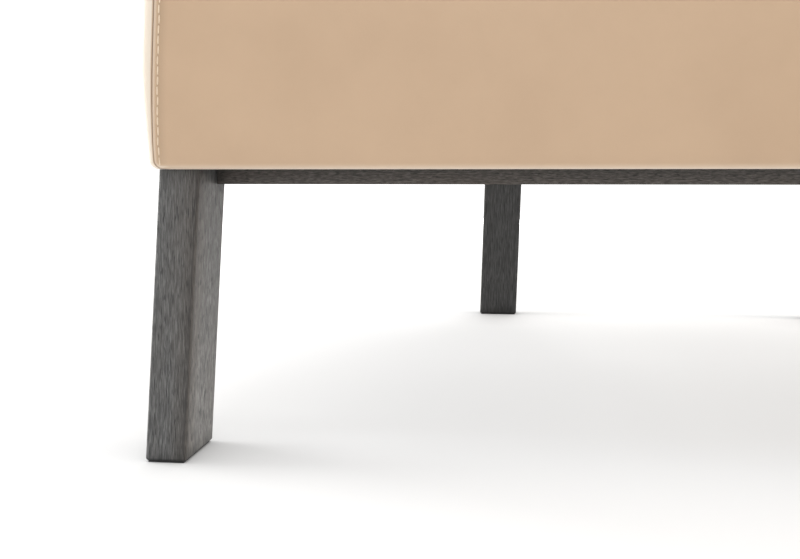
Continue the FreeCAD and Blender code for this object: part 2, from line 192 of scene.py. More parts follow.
# painted shading by the distance to a seam: shade in the groove, a highlight on the ridge, shade along the
# stitches
def paintedSeamShading(distance):
    groove = -max(1 - distance / seam["ridge"], 0)
    ridge = bell(distance, seam["ridge"], seam["ridgeWidth"])
    stitched = bell(distance, seam["stitchAway"], seam["stitchWidth"])
    return groove + seam["ridgeHighlight"] * ridge - seam["stitchShade"] * stitched


# materials

def startMaterial(name):
    material = bpy.data.materials.new(name)
    material.use_nodes = True
    return material


def feed(material, node, inputs):
    # each input takes a plain value, or the output of another node
    for key, value in inputs.items():
        if isinstance(value, bpy.types.NodeSocket):
            material.node_tree.links.new(value, node.inputs[key])
        else:
            node.inputs[key].default_value = value


def addNode(material, kind, output, inputs=None, **settings):
    node = material.node_tree.nodes.new("ShaderNode" + kind)
    for key, value in settings.items():
        setattr(node, key, value)
    feed(material, node, inputs or {})
    return node.outputs[output]


def setShader(material, **inputs):
    shader = material.node_tree.nodes["Principled BSDF"]
    feed(material, shader, {key.replace("_", " "): value for key, value in inputs.items()})


def addNoise(material, at, size, detail, roughness):
    inputs = {"Vector": at, "Scale": size, "Detail": detail, "Roughness": roughness}
    return addNode(material, "TexNoise", "Fac", inputs)


def addRamp(material, source, stops):
    ramp = addNode(material, "ValToRGB", "Color", {"Fac": source})
    elements = ramp.node.color_ramp.elements
    while len(elements) < len(stops):
        elements.new(0.5)
    for element, (position, colour) in zip(elements, stops):
        element.position = position
        element.color = (*colour, 1)
    return ramp


def addRange(material, source, low=0.0, high=1.0, toLow=0.0, toHigh=1.0):
    inputs = {"Value": source, "From Min": low, "From Max": high, "To Min": toLow, "To Max": toHigh}
    return addNode(material, "MapRange", "Result", inputs)


def layOver(material, share, under, colour):
    return addNode(material, "MixRGB", "Color", {"Fac": share, "Color1": under, "Color2": (*colour, 1)})


def addBump(material, source, strength, distance, under=None):
    inputs = {"Height": source, "Strength": strength, "Distance": distance}
    if under is not None:
        inputs["Normal"] = under
    return addNode(material, "Bump", "Normal", inputs)


def objectCoords(material):
    return addNode(material, "TexCoord", "Object")


def grainCoords(material, stretch):
    return addNode(material, "Mapping", "Vector", {"Vector": objectCoords(material), "Scale": stretch})


def followFigure(material, figure, stops, rough, bump, **inputs):
    # colour, roughness and relief that all follow one figure
    setShader(material, Base_Color=addRamp(material, figure, stops),
              Roughness=addRange(material, figure, toLow=rough[0], toHigh=rough[1]),
              Normal=addBump(material, figure, *bump), **inputs)
    return material


leatherLook = {
    "dark": (0.555, 0.387, 0.252),
    "mid": (0.579, 0.406, 0.266),
    "light": (0.603, 0.425, 0.279),
    # painted shade, laid where the seam shading is negative
    "groove": (0.160, 0.105, 0.065),
    "grooveFull": -0.8,         # seam shades at which these two colours cover fully
    # painted highlight, laid where the seam shading is positive
    "ridge": (0.850, 0.750, 0.630),
    "ridgeFull": 1.1,
    "cloudSize": 14.0,
    "poreSize": 1100.0,
    "creaseSize": 130.0,
}


def makeLeather():
    look = leatherLook
    material = startMaterial("tanLeather")
    at = objectCoords(material)

    # cloudy tone of the dyed hide
    clouds = addNoise(material, at, look["cloudSize"], detail=4, roughness=0.55)
    tone = addRamp(material, clouds, [(0.30, look["dark"]), (0.50, look["mid"]), (0.72, look["light"])])

    # painted shade in the seam grooves and along the stitch lines, and painted highlights on the ridges
    # beside the seams, the turned front edges and the lower edge
    shade = addNode(material, "Attribute", "Fac", attribute_name="seamShadeAndHighlight")
    for edge in ("groove", "ridge"):
        tone = layOver(material, addRange(material, shade, high=look[edge + "Full"]), tone, look[edge])

    # fine pores over shallow creases
    creases = addNoise(material, at, look["creaseSize"], detail=5, roughness=0.6)
    poreInputs = {"Vector": at, "Scale": look["poreSize"]}
    pores = addNode(material, "TexVoronoi", "Distance", poreInputs, feature="SMOOTH_F1")
    soft = addBump(material, creases, strength=0.10, distance=0.0012)
    setShader(material, Base_Color=tone, Roughness=addRange(material, creases, toLow=0.44, toHigh=0.60),
              Normal=addBump(material, pores, strength=0.16, distance=0.0003, under=soft),
              Specular_IOR_Level=0.50, Sheen_Weight=0.90, Sheen_Roughness=0.35)
    return material


oakLook = {
    "pore": (0.035, 0.035, 0.035),
    "dark": (0.064, 0.064, 0.063),
    "mid": (0.102, 0.102, 0.101),
    "light": (0.180, 0.180, 0.178),
    "brown": (0.115, 0.091, 0.073),
    "streakSize": 1480.0,
    "poreSize": 1700.0,
    "bandSize": 60.0,
    "cornerReach": 0.012,       # painted shade, darker where the oak meets the floor and the seat
    "legLean": (2.58, 4.55),    # degrees, out to the side and to the front
    "edgeReach": 0.010,
    "edgeAcross": (1, 0.55, 0),     # the shade reaches further over the inner face than over the front
    "edgeShades": [(0.06, (0.40, 0.36, 0.33)), (0.22, (0.66, 0.62, 0.59)), (0.5, (0.85, 0.82, 0.79)),
                   (0.8, (0.97, 0.955, 0.94)), (1.0, (1, 1, 1))],
}


def shadeLegEdge(material, under):
    # painted shade: a brown shade along the rounded edge between a front leg's front and inner faces, where
    # it turns away from the light
    look = oakLook
    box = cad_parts["front_leg_left"].bound_box
    legTop = min(corner[2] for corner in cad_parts["front_panel"].bound_box)
    lean = [math.tan(turn) for turn in radiansOf(look["legLean"])]
    innerFoot = min(abs(corner[0]) for corner in box) + legTop * lean[0]
    foot = Vector((innerFoot, max(abs(corner[1]) for corner in box), 0))
    turn = Vector((-lean[0], -lean[1], 1)).rotation_difference(Vector((0, 0, 1)))
    bothLegs = addNode(material, "VectorMath", "Vector", {0: objectCoords(material)}, operation="ABSOLUTE")
    fromEdge = addNode(material, "Mapping", "Vector",
                       {"Vector": bothLegs, "Rotation": turn.to_euler(), "Location": -(turn @ foot)})
    across = addNode(material, "VectorMath", "Vector", {0: fromEdge, 1: look["edgeAcross"]},
                     operation="MULTIPLY")
    away = addNode(material, "VectorMath", "Value", {0: across}, operation="LENGTH")
    shade = addRamp(material, addRange(material, away, high=look["edgeReach"]), look["edgeShades"])
    return addNode(material, "MixRGB", "Color", {"Fac": 1.0, "Color1": under, "Color2": shade},
                   blend_type="MULTIPLY")


def makeOak(name, stretch, tone=(1, 1, 1), legEdge=False):
    # stretch: how fast the figure changes along each axis, slowest along the grain
    # tone scales the oak's colours: a warmer tint on the rails, a painted shade on the rear legs
    look = dict(oakLook)
    for shade in ("pore", "dark", "mid", "light", "brown"):
        look[shade] = [part * stainAndShade for part, stainAndShade in zip(oakLook[shade], tone)]
    material = startMaterial(name)
    at = grainCoords(material, stretch)

    # pale and dark streaks, with broad brownish bands where the stain took less
    streaks = addNoise(material, at, look["streakSize"], detail=6, roughness=0.62)
    bands = addNoise(material, at, look["bandSize"], detail=2, roughness=0.5)
    stainAndShade = addRamp(material, streaks, [(0.375, look["dark"]), (0.50, look["mid"]), (0.645, look["light"])])
    browned = addRange(material, bands, low=0.52, high=0.80, toHigh=0.30)
    stainAndShade = layOver(material, browned, stainAndShade, look["brown"])

    # open pores, filled dark by the stain
    flecks = addNoise(material, at, look["poreSize"], detail=2, roughness=0.5)
    pores = addRange(material, flecks, low=0.56, high=0.68)
    stainAndShade = layOver(material, pores, stainAndShade, look["pore"])
    # painted shade along the front legs' inner edge
    if legEdge:
        stainAndShade = shadeLegEdge(material, stainAndShade)
    # painted shade where the oak meets the floor and the seat
    corners = {"Color": stainAndShade, "Distance": look["cornerReach"]}
    stainAndShade = addNode(material, "AmbientOcclusion", "Color", corners, samples=8)
    ridges = addBump(material, streaks, strength=0.25, distance=0.0006)
    sunk = addNode(material, "Math", "Value", {0: pores, 1: -1.0}, operation="MULTIPLY")
    setShader(material, Base_Color=stainAndShade, Roughness=addRange(material, streaks, toLow=0.42, toHigh=0.62),
              Normal=addBump(material, sunk, strength=0.35, distance=0.0003, under=ridges),
              Specular_IOR_Level=0.42)
    return material


def makePlainWood(name, pale, dark, grainAxis):
    material = startMaterial(name)
    stretch = [1, 1, 1]
    stretch[grainAxis] = 0.06
    figure = addNoise(material, grainCoords(material, stretch), size=160, detail=5, roughness=0.6)
    return followFigure(material, figure, [(0.32, dark), (0.68, pale)], rough=(0.55, 0.75),
                        bump=(0.2, 0.0005), Specular_IOR_Level=0.3)


def makeWoven(name, pale, dark, threadsPerMetre):
    material = startMaterial(name)
    waves = {"Vector": objectCoords(material), "Scale": threadsPerMetre, "Distortion": 1.2, "Detail": 1}
    warp = addNode(material, "TexWave", "Fac", waves, bands_direction="X")
    weft = addNode(material, "TexWave", "Fac", waves, bands_direction="Y")
    weave = addNode(material, "Math", "Value", {0: warp, 1: weft}, operation="MULTIPLY")
    return followFigure(material, weave, [(0.05, dark), (0.75, pale)], rough=(0.75, 0.92),
                        bump=(0.5, 0.0006), Specular_IOR_Level=0.2, Sheen_Weight=0.2)


def makeSpeckled(name, pale, dark, grainSize, rough, metal=0.0):
    material = startMaterial(name)
    speckle = addNoise(material, objectCoords(material), grainSize, detail=4, roughness=0.6)
    return followFigure(material, speckle, [(0.3, dark), (0.7, pale)], rough, bump=(0.3, 0.0002),
                        Metallic=metal)


leather = makeLeather()
thread = makeSpeckled("paleThread", (0.86, 0.73, 0.56), (0.74, 0.59, 0.43), 2600, (0.55, 0.75))
deckCloth = makeWoven("deckCloth", (0.50, 0.36, 0.25), (0.30, 0.21, 0.14), 260)
blackCloth = makeSpeckled("blackCloth", (0.030, 0.030, 0.031), (0.012, 0.012, 0.013), 1500, (0.8, 0.95))
zipCloth = makeWoven("zipTape", (0.42, 0.29, 0.19), (0.26, 0.17, 0.11), 420)
plastic = makeSpeckled("footPlastic", (0.035, 0.035, 0.035), (0.018, 0.018, 0.018), 900, (0.45, 0.6))
brass = makeSpeckled("brushedBrass", (0.66, 0.50, 0.24), (0.52, 0.38, 0.16), 700, (0.25, 0.42), metal=1.0)
steel = makeSpeckled("brightSteel", (0.60, 0.60, 0.61), (0.45, 0.45, 0.46), 800, (0.25, 0.45), metal=1.0)
oakUpright = makeOak("oakUpright", (1, 0.22, 0.072), legEdge=True)
# the rear legs: the same oak, darkened by a painted shade that stands in for the shadow under the seat
oakRearShaded = makeOak("oakRearShaded", (0.6, 0.3, 0.035), (0.56, 0.55, 0.54))
railTone = (1.08, 0.96, 0.87)
oakAcross = makeOak("oakAcross", (0.14, 0.6, 0.9), railTone)
oakLengthwise = makeOak("oakLengthwise", (0.9, 0.14, 0.6), railTone)

# each finish of the frame, and the oak pieces with another tone (on the rear legs a painted shade) or
# another run of the grain
frameFinish = {
    "stained_oak": oakUpright,
    "beech": makePlainWood("planedBeech", (0.66, 0.49, 0.32), (0.52, 0.36, 0.22), grainAxis=1),
    "plywood": makePlainWood("bentPlywood", (0.68, 0.53, 0.36), (0.54, 0.39, 0.24), grainAxis=2),
    "steel": steel,
    "tan_leather": leather,
    "dark_plastic": plastic,
    "webbing": makeWoven("elasticWebbing", (0.13, 0.12, 0.11), (0.05, 0.045, 0.04), 300),
    "hessian": makeWoven("springHessian", (0.46, 0.35, 0.21), (0.26, 0.18, 0.10), 170),
    "deck_cloth": deckCloth,
    "black_cloth": blackCloth,
    "foam": makeSpeckled("cushionFoam", (0.82, 0.76, 0.60), (0.66, 0.60, 0.45), 900, (0.85, 0.95)),
    "zip_tape": zipCloth,
    "brass": brass,
}
oakPieces = {
    "rear_leg_left": oakRearShaded, "rear_leg_right": oakRearShaded,
    "front_rail": oakAcross, "middle_rail": oakAcross, "rear_rail": oakAcross,
    "side_rail_left": oakLengthwise, "side_rail_right": oakLengthwise,
}
for nodeName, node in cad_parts.items():
    for materialSlot in node.material_slots:
        slotName = materialSlot.material.name.split(".")[0]
        materialSlot.material = oakPieces.get(nodeName, frameFinish[slotName])
print("materials on the frame")


# the chair seen from above: bowed sides, round back corners and a shallow back
bodyPlan = {
    "sideLength": 0.470,        # front face to the upright seams
    "cornerRadius": 0.240,
    "backRadius": 2.000,
    "armThickness": 0.110,
    "backThickness": 0.083,
    "wellCorner": 0.120,
    "panelEdge": 0.00535,       # the front panel stands this far inside the walls' outline
    "rollRadius": 0.035,        # rolled top edges
    "seamDrop": 0.036,          # outer top seam below the top line
    "riseStart": -0.150,
    "riseEnd": 0.270,
    "bottomRound": 0.0048,
    "hem": 0.014,
    "wrapDepth": 0.0065,        # the sides turn round their front edge to meet the panel
    # strength of the painted highlight on the turned front edges
    "wrapHighlight": 1.1,
    "swell": 0.006,             # the front is widest just above the legs and draws in by this higher up
    "swellHeight": 0.205,
    "swellFade": 0.090,
    "cornerIn": 0.0006,         # and by this at the very bottom
    "cornerHeight": 0.200,
    "fullness": 0.0033,         # the padded sides stand out beyond their front edge by this
    "fullHeight": (0.190, 0.245),
    "tuck": 0.0018,             # and tuck in below the seat
    "tuckHeight": 0.215,
    "lowRoll": 0.0050,          # the lower front edge rolls back by this
    "lowRollReach": 0.0100,
    "leatherSheet": 0.0025,
}
panelLow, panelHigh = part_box("front_panel")
frontY, panelBackY, floorGap = panelLow.y, panelHigh.y, panelLow.z
halfFront = panelHigh.x + bodyPlan["panelEdge"]
armTop = panelHigh.z + bodyPlan["panelEdge"]
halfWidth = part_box("outside_arm_right")[1].x
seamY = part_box("outside_arm_right")[1].y
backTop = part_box("inside_back")[1].z
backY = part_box("outside_back")[1].y
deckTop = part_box("deck_pad")[1].z
sideBow = halfWidth - halfFront
sideRadius = (bodyPlan["sideLength"] ** 2 / 4 + sideBow ** 2) / (2 * sideBow)
sideCentre = Vector((halfWidth - sideRadius, frontY + bodyPlan["sideLength"] / 2))
backCentre = Vector((0, backY - bodyPlan["backRadius"]))


def planLine(inset, backInset, rounding):
    # side arc, corner arc and back arc, each touching the next, drawn in from the outer outline
    sideR = sideRadius - inset
    backR = bodyPlan["backRadius"] - backInset
    axis = backCentre - sideCentre
    gap = axis.length
    axis.normalize()
    along = ((sideR - rounding) ** 2 - (backR - rounding) ** 2 + gap ** 2) / (2 * gap)
    across = math.sqrt((sideR - rounding) ** 2 - along ** 2)
    corner = sideCentre + axis * along + Vector((-axis.y, axis.x)) * across
    toSide, toBack = corner - sideCentre, corner - backCentre
    return {
        "sideR": sideR, "backR": backR, "corner": corner, "rounding": rounding,
        "front": math.asin((panelBackY - sideCentre.y) / sideR),
        "seam": math.asin((seamY - sideCentre.y) / sideR),
        "sideTurn": math.atan2(toSide.y, toSide.x),
        "backTurn": math.atan2(toBack.y, toBack.x),
    }


outerLine = planLine(0, 0, bodyPlan["cornerRadius"])
innerLine = planLine(bodyPlan["armThickness"], bodyPlan["backThickness"], bodyPlan["wellCorner"])

# lengths along the outer line, from the right front round to the middle of the back
seamRun = sideRadius * (outerLine["seam"] - outerLine["front"])
cornerRun = seamRun + sideRadius * (outerLine["sideTurn"] - outerLine["seam"])
cornerRun += outerLine["rounding"] * (outerLine["backTurn"] - outerLine["sideTurn"])
halfRun = cornerRun + bodyPlan["backRadius"] * (math.pi / 2 - outerLine["backTurn"])


def planPoint(line, run):
    # point and outward direction on a plan line, at a length along the outer line
    mirrored = run > halfRun
    if mirrored:
        run = 2 * halfRun - run
    if run <= seamRun:
        centre, radius = sideCentre, line["sideR"]
        turn = mix(line["front"], line["seam"], run / seamRun)
    elif run <= cornerRun:
        straight = line["sideR"] * (line["sideTurn"] - line["seam"])
        bend = line["rounding"] * (line["backTurn"] - line["sideTurn"])
        length = (straight + bend) * (run - seamRun) / (cornerRun - seamRun)
        if length < straight:
            centre, radius = sideCentre, line["sideR"]
            turn = line["seam"] + length / radius
        else:
            centre, radius = line["corner"], line["rounding"]
            turn = line["sideTurn"] + (length - straight) / radius
    else:
        centre, radius = backCentre, line["backR"]
        turn = mix(line["backTurn"], math.pi / 2, (run - cornerRun) / (halfRun - cornerRun))
    way = Vector((math.cos(turn), math.sin(turn)))
    point = centre + way * radius
    if mirrored:
        point.x, way.x = -point.x, -way.x
    return point, way


def topLine(y):
    # level along the arms, then two equal arcs up to the back
    start, end = bodyPlan["riseStart"], bodyPlan["riseEnd"]
    rise = backTop - armTop
    radius = ((end - start) ** 2 + rise ** 2) / (4 * rise)
    if y <= start:
        return armTop
    if y >= end:
        return backTop
    if y < (start + end) / 2:
        return armTop + radius - math.sqrt(radius ** 2 - (y - start) ** 2)
    return backTop - radius + math.sqrt(radius ** 2 - (end - y) ** 2)


def drawIn(z):
    above = max(z - bodyPlan["swellHeight"], 0) / bodyPlan["swellFade"]
    below = max(bodyPlan["cornerHeight"] - z, 0) / (bodyPlan["cornerHeight"] - floorGap)
    return bodyPlan["swell"] * (1 - math.exp(-above * above)) + bodyPlan["cornerIn"] * below * below


def wallDraw(z):
    below = max(bodyPlan["tuckHeight"] - z, 0) / (bodyPlan["tuckHeight"] - floorGap)
    full = bodyPlan["fullness"] * easeStep(z, *bodyPlan["fullHeight"])
    return drawIn(z) - full + bodyPlan["tuck"] * below * below


def lowRoll(z):
    part = min(max(1 - (z - floorGap) / bodyPlan["lowRollReach"], 0), 1)
    return bodyPlan["lowRoll"] * (1 - math.sqrt(1 - part ** 3))


def frontWrap(run):
    # columns before the front edge are given as an angle round it:
    # this gives their share of the way in, and how far forward they stand
    if run >= 0:
        return 0, 0
    return 1 - math.cos(run), bodyPlan["wrapDepth"] * math.sin(-run)


def wrapHighlight(run):
    # painted highlight where the leather turns round the front edge, standing in for the sheen and side
    # light there
    return bodyPlan["wrapHighlight"] * math.sin(-run) ** 0.5 if run < 0 else 0


def columnEdge(run):
    # distance to the nearest upright seam
    if run < 0:
        return (math.pi / 2 + run) * bodyPlan["wrapDepth"]
    return min(abs(run - seamRun), abs(2 * halfRun - seamRun - run))


# distances from a seam at which the columns and rows beside it lie, and angles round the front edge
nearSeam = [0, 0.0003, 0.0007, 0.0012, 0.0018, 0.0026, 0.0040, 0.0065, 0.011]
wrapTurns = radiansOf((-90, -86, -81, -75, -67, -56, -44, -31, -17, -6))


def armColumns(count):
    face = steps(0, seamRun - nearSeam[-1], count)
    return wrapTurns + face + [seamRun - near for near in reversed(nearSeam[:-1])]


def backColumns(count):
    lastNear = nearSeam[-1]
    start, end = seamRun, 2 * halfRun - seamRun
    left = [start + near for near in nearSeam[:-1]]
    right = [end - near for near in reversed(nearSeam[:-1])]
    return left + steps(start + lastNear, end - lastNear, count) + right


def makeWall(name, columns, rows, placeAt, side=1):
    # a panel of the walls, laid out as on the right and mirrored for the left
    def place(run, row):
        point, edge = placeAt(run, row)
        return mirrorTo(point, side), edge
    piece = gridPiece(name, columns, rows, place, wrapHighlight)

    # the outermost face tells which way the grid was laid
    outerFace = max(piece.data.polygons, key=lambda face: side * face.center.x)
    if outerFace.normal.x * side < 0:
        piece.data.flip_normals()
    thicken(piece, bodyPlan["leatherSheet"])
    return piece


sides = {"right": 1, "left": -1}


def makeWalls(layer, look, rows, placeAt):
    # both arms and the back of the outside or the inside
    arms = {}
    for sideName, side in sides.items():
        arm = makeWall(layer + "Arm_" + sideName, armColumns(look["armColumns"]), rows, placeAt, side)
        dress(arm, "chair", "tan_leather", leather, layer + "_arm_" + sideName)
        arms[sideName] = arm
    back = makeWall(layer + "Back", backColumns(look["backColumns"]), rows, placeAt)
    dress(back, "chair", "tan_leather", leather, layer + "_back")
    print(layer, "arms and back")
    return arms, back


# outside arms and outside back
outsideLook = {
    "armColumns": 40,
    "backColumns": 96,
    "faceRows": 34,
    "hemRows": 3,
    "roundTurns": 8,
    "ripple": 0.0005,
    "rippleSize": 9,
}
outsideRows = rowsOf("hem", steps(bodyPlan["hem"], 0, outsideLook["hemRows"]))
outsideRows += rowsOf("round", steps(0, math.pi / 2, outsideLook["roundTurns"])[1:])
outsideRows += rowsOf("face", steps(0, 1, outsideLook["faceRows"])[1:])
outsideRows += rowsOf("below", reversed(nearSeam[:-1]))


def outsidePlace(run, row):
    kind, value = row
    look = outsideLook
    turned, forward = frontWrap(run)
    point, way = planPoint(outerLine, max(run, 0))
    top = topLine(point.y) - bodyPlan["seamDrop"]
    rounding = bodyPlan["bottomRound"]
    edge = columnEdge(run)
    inward, z = 0, floorGap
    if kind == "hem":
        inward = rounding + value
    elif kind == "round":
        inward = rounding * (1 - math.sin(value))
        z = floorGap + rounding * (1 - math.cos(value))
    elif kind == "face":
        z = mix(floorGap + rounding, top - nearSeam[-1], value)
    else:
        z = top - value
        edge = min(edge, value)
    ripple = look["ripple"] * noise.noise(Vector((point.x, point.y, z)) * look["rippleSize"])
    inward += mix(wallDraw(z), bodyPlan["panelEdge"] + drawIn(z), turned) + seamDip(edge) + ripple
    place = point - way * inward
    return Vector((place.x, place.y - forward * (1 - lowRoll(z) / bodyPlan["wrapDepth"]), z)), edge


outsideArms, outsideBack = makeWalls("outside", outsideLook, outsideRows, outsidePlace)


# inside arms and inside back: up the rolled outer edge, over the top and down to the deck
insideLook = {
    "armColumns": 46,
    "backColumns": 104,
    "startDrops": (0.0357, 0.0354),     # the cap's own seam edge, just above the outside panels
    "rollAngles": (0, 0.6, 1.3, 2.1, 3.2, 5, 8, 13, 20, 29, 38, 48, 58, 68, 78, 90),
    "topRows": 6,
    "rollRows": 11,
    "faceRows": 30,
    "topCrown": 0.0022,
    "crownStart": 0.060,        # the crown grows over this far from the flat-topped front panel
    "deckLap": 0.012,           # runs this far below the deck's surface
    "recline": 0.2149,          # how far the back comes forward for each unit down
    "reclineTop": 0.690,
    "reclineSoft": 0.020,
    "creaseBlend": 0.022,
    "lumbar": 0.009,
    "lumbarHalf": 0.27,
    "ripple": 0.0007,
    "rippleSize": 7,
}
insideRows = rowsOf("outer", insideLook["startDrops"])
insideRows += rowsOf("outerRoll", radiansOf(insideLook["rollAngles"]))
insideRows += rowsOf("top", steps(0, 1, insideLook["topRows"])[1:-1])
insideRows += rowsOf("innerRoll", radiansOf(steps(90, 0, insideLook["rollRows"])))
insideRows += rowsOf("inner", steps(0, 1, insideLook["faceRows"])[1:])


def reclineShift(point, z):
    # the inside back leans: how far a point of the well's outline comes forward at this height
    look = insideLook
    below = look["reclineTop"] - z
    below = (below + math.sqrt(below ** 2 + look["reclineSoft"] ** 2)) / 2
    wellBack = backY - bodyPlan["backThickness"]
    plane = wellBack - below * look["recline"]
    across = max(1 - (point.x / look["lumbarHalf"]) ** 2, 0)
    height = min(max((z - deckTop) / (look["reclineTop"] - deckTop), 0), 1)
    plane -= look["lumbar"] * across * math.sin(math.pi * height)
    return point.y - softMin(point.y, plane, look["creaseBlend"])


def insidePlace(run, row):
    kind, value = row
    look = insideLook
    turned, forward = frontWrap(run)
    wrapIn = bodyPlan["panelEdge"] * turned
    outerIn = wrapIn + bodyPlan["fullness"] * turned
    outerPoint = planPoint(outerLine, max(run, 0))[0]
    innerPoint = planPoint(innerLine, max(run, 0))[0]
    across = innerPoint - outerPoint
    width = across.length
    across.normalize()
    roll = bodyPlan["rollRadius"]
    radius = roll - wrapIn
    drawn = bodyPlan["swell"] - bodyPlan["fullness"]
    edge = columnEdge(run)
    seamEdge = look["startDrops"][0]
    lean = 0
    if kind == "outer":
        inset, drop, flat, rise = drawn + outerIn, value, -1, 0
        edge = min(edge, seamEdge - value)
    elif kind == "outerRoll":
        inset = drawn + roll - (roll - outerIn) * math.cos(value)
        drop = roll - radius * math.sin(value)
        flat, rise = -math.cos(value), math.sin(value)
        edge = min(edge, seamEdge - roll + roll * value)
    elif kind == "top":
        inset = mix(drawn + roll, width - roll, value)
        crown = look["topCrown"] * easeStep(run, 0, look["crownStart"])
        drop, flat, rise = wrapIn - crown * math.sin(math.pi * value), 0, 1
    elif kind == "innerRoll":
        inset, drop = width - roll + radius * math.cos(value), roll - radius * math.sin(value)
        flat, rise = math.cos(value), math.sin(value)
        lean = math.cos(value)
    else:
        inset, flat, rise, lean = width - wrapIn, 1, 0, 1
    place = outerPoint + across * inset
    if kind == "inner":
        z = mix(topLine(place.y) - roll, deckTop - look["deckLap"], value)
    else:
        z = topLine(place.y) - drop
    if lean:
        place.y -= lean * reclineShift(innerPoint, z)
    surface = Vector((across.x * flat, across.y * flat, rise))
    point = Vector((place.x, place.y - forward, z))
    ripple = look["ripple"] * noise.noise(point * look["rippleSize"])
    return point + surface * (ripple - seamDip(edge)), edge


insideArms, insideBack = makeWalls("inside", insideLook, insideRows, insidePlace)


# stitches and other short bars laid along a line on a piece
stitchLook = {
    "length": 0.0052,
    "width": 0.00098,
    "pitch": 0.0060,
    "blunt": 0.55,
    "raised": 0.0001176,        # its middle lies this far above the leather
    "wander": (0.00022, 2.4),   # hand-fed stitches stray this far from their line, by this turn for each
}


def layAlong(name, path, onto, look, material, slotName, body):
    surface = BVHTree.FromObject(onto, bpy.context.evaluated_depsgraph_get())
    snapped = []
    for point in path:
        place, normal = surface.find_nearest(point)[:2]
        snapped.append(place + normal * look["raised"])
    length = sum((b - a).length for a, b in zip(snapped, snapped[1:]))

    # the line as a curve for the row to follow
    curve = bpy.data.curves.new(name + "Line", "CURVE")
    curve.dimensions = "3D"
    spline = curve.splines.new("POLY")
    spline.points.add(len(snapped) - 1)
    for splinePoint, place in zip(spline.points, snapped):
        splinePoint.co = (*place, 1)
    line = bpy.data.objects.new(name + "Line", curve)
    bpy.context.scene.collection.objects.link(line)

    # one bar with blunt ends, lying along X
    bpy.ops.mesh.primitive_uv_sphere_add(segments=6, ring_count=6, radius=1)
    row = namePiece(name)
    for vertex in row.data.vertices:
        reach = math.copysign(abs(vertex.co.z) ** look["blunt"], vertex.co.z)
        flat = look["width"] / 2
        vertex.co = Vector(((reach + 1) * look["length"] / 2, vertex.co.x * flat, vertex.co.y * flat))
    applyModifier(row, "ARRAY", count=max(int(length / look["pitch"]), 1), use_relative_offset=False,
                  use_constant_offset=True, constant_offset_displace=(look["pitch"], 0, 0))
    if "wander" in look:
        stray, turn = look["wander"]
        for vertex in row.data.vertices:
            vertex.co.y += stray * math.sin(turn * (vertex.co.x // look["pitch"]))
    applyModifier(row, "CURVE", object=line, deform_axis="POS_X")
    bpy.data.objects.remove(line)
    bpy.data.curves.remove(curve)
    smoothFaces(row, degrees=80)
    dress(row, body, slotName, material)


def stitch(name, path, onto, body="chair"):
    layAlong(name, path, onto, stitchLook, thread, "tan_leather", body)


# front panel: both arm fronts and the apron in one piece of leather
frontPanel = {
    "armRound": bodyPlan["rollRadius"] - bodyPlan["panelEdge"],
    "armTurns": 10,
    "bottomRound": 0.0048,
    "footTurns": 6,
    "leastRound": 0.0002,
    "apronTop": 0.302,
    "outlineSteps": (50, 36, 40),       # outer edge, inner edge and half the apron
    "drawReach": (0.07, 0.004),         # from the outer edge, where the drawing in starts and is full
    "cell": 0.026,
    "apronCuts": 8,
    "armCuts": 10,
    "armClear": 0.002,
    "footCuts": (0.0095, 0.0145, 0.0235),
    "lowCuts": (0.0018, 0.004, 0.0068, 0.0105, 0.016, 0.024, 0.036),
    "innerCut": 0.011,
    "rings": (0.0003, 0.0004, 0.0005, 0.0006, 0.0008, 0.0008, 0.0006),     # insets that form the seam
    "valley": 0.00035,
    "valleyWidth": 0.0011,
    "seamBack": 0.0016,         # the seam lies this far behind the panel's face
    "pillow": 0.0009,
    "pillowReach": 0.045,
    "edgeHighlight": 0.40,           # painted highlight along the lower edge, where it rolls under towards the bright floor
    "edgeLift": 0.0008,
    "edgeWidth": 0.0015,
    "sheet": 0.0030,
}
panelHalf = panelHigh.x
panelInner = halfFront - bodyPlan["armThickness"] + bodyPlan["panelEdge"]


def panelOutline(inset, roundFoot=True):
    # from the left bottom corner up, over both arm fronts and down to the right bottom corner
    look = frontPanel
    low, apron, top = floorGap, look["apronTop"] - inset, panelHigh.z - inset
    outer, inner = panelHalf - inset, panelInner + inset
    lowRound, armRound = max(look["bottomRound"] - inset, look["leastRound"]), look["armRound"] - inset
    outerSteps, innerSteps, apronSteps = look["outlineSteps"]

    def corner(x, z, acrossBy, upBy, turns):
        return [(x + acrossBy * (1 - math.cos(turn)), z + upBy * (1 - math.sin(turn))) for turn in turns]

    half = [(outer, low + inset / 3)]       # a row of stitches starts close to the lower edge
    if roundFoot:
        half = corner(outer, low + inset, -lowRound, lowRound, steps(math.pi / 2, 0, look["footTurns"]))
    half += [(outer, z) for z in steps(low + inset + lowRound, top - armRound, outerSteps)[1:]]
    half += corner(outer, top, -armRound, -armRound, steps(0, math.pi / 2, look["armTurns"])[1:])
    half += corner(inner, top, armRound, -armRound, steps(math.pi / 2, 0, look["armTurns"]))
    half += [(inner, z) for z in steps(top - armRound, apron, innerSteps)[1:]]
    half += [(x, apron) for x in steps(inner, 0, apronSteps)[1:]]
    left = [(-x, z) for x, z in half]
    return left + half[-2::-1]


def panelDraw(x, z):
    # the outer edges draw in with the sides
    start, full = frontPanel["drawReach"]
    weight = easeStep(abs(x), panelHalf - start, panelHalf - full)
    return x - math.copysign(drawIn(z) * weight, x)


def segmentDistance(point, outline):
    best = 1.0
    for (ax, az), (bx, bz) in zip(outline, outline[1:]):
        dx, dz = bx - ax, bz - az
        part = ((point[0] - ax) * dx + (point[1] - az) * dz) / (dx * dx + dz * dz)
        part = min(max(part, 0), 1)
        best = min(best, math.hypot(point[0] - ax - part * dx, point[1] - az - part * dz))
    return best


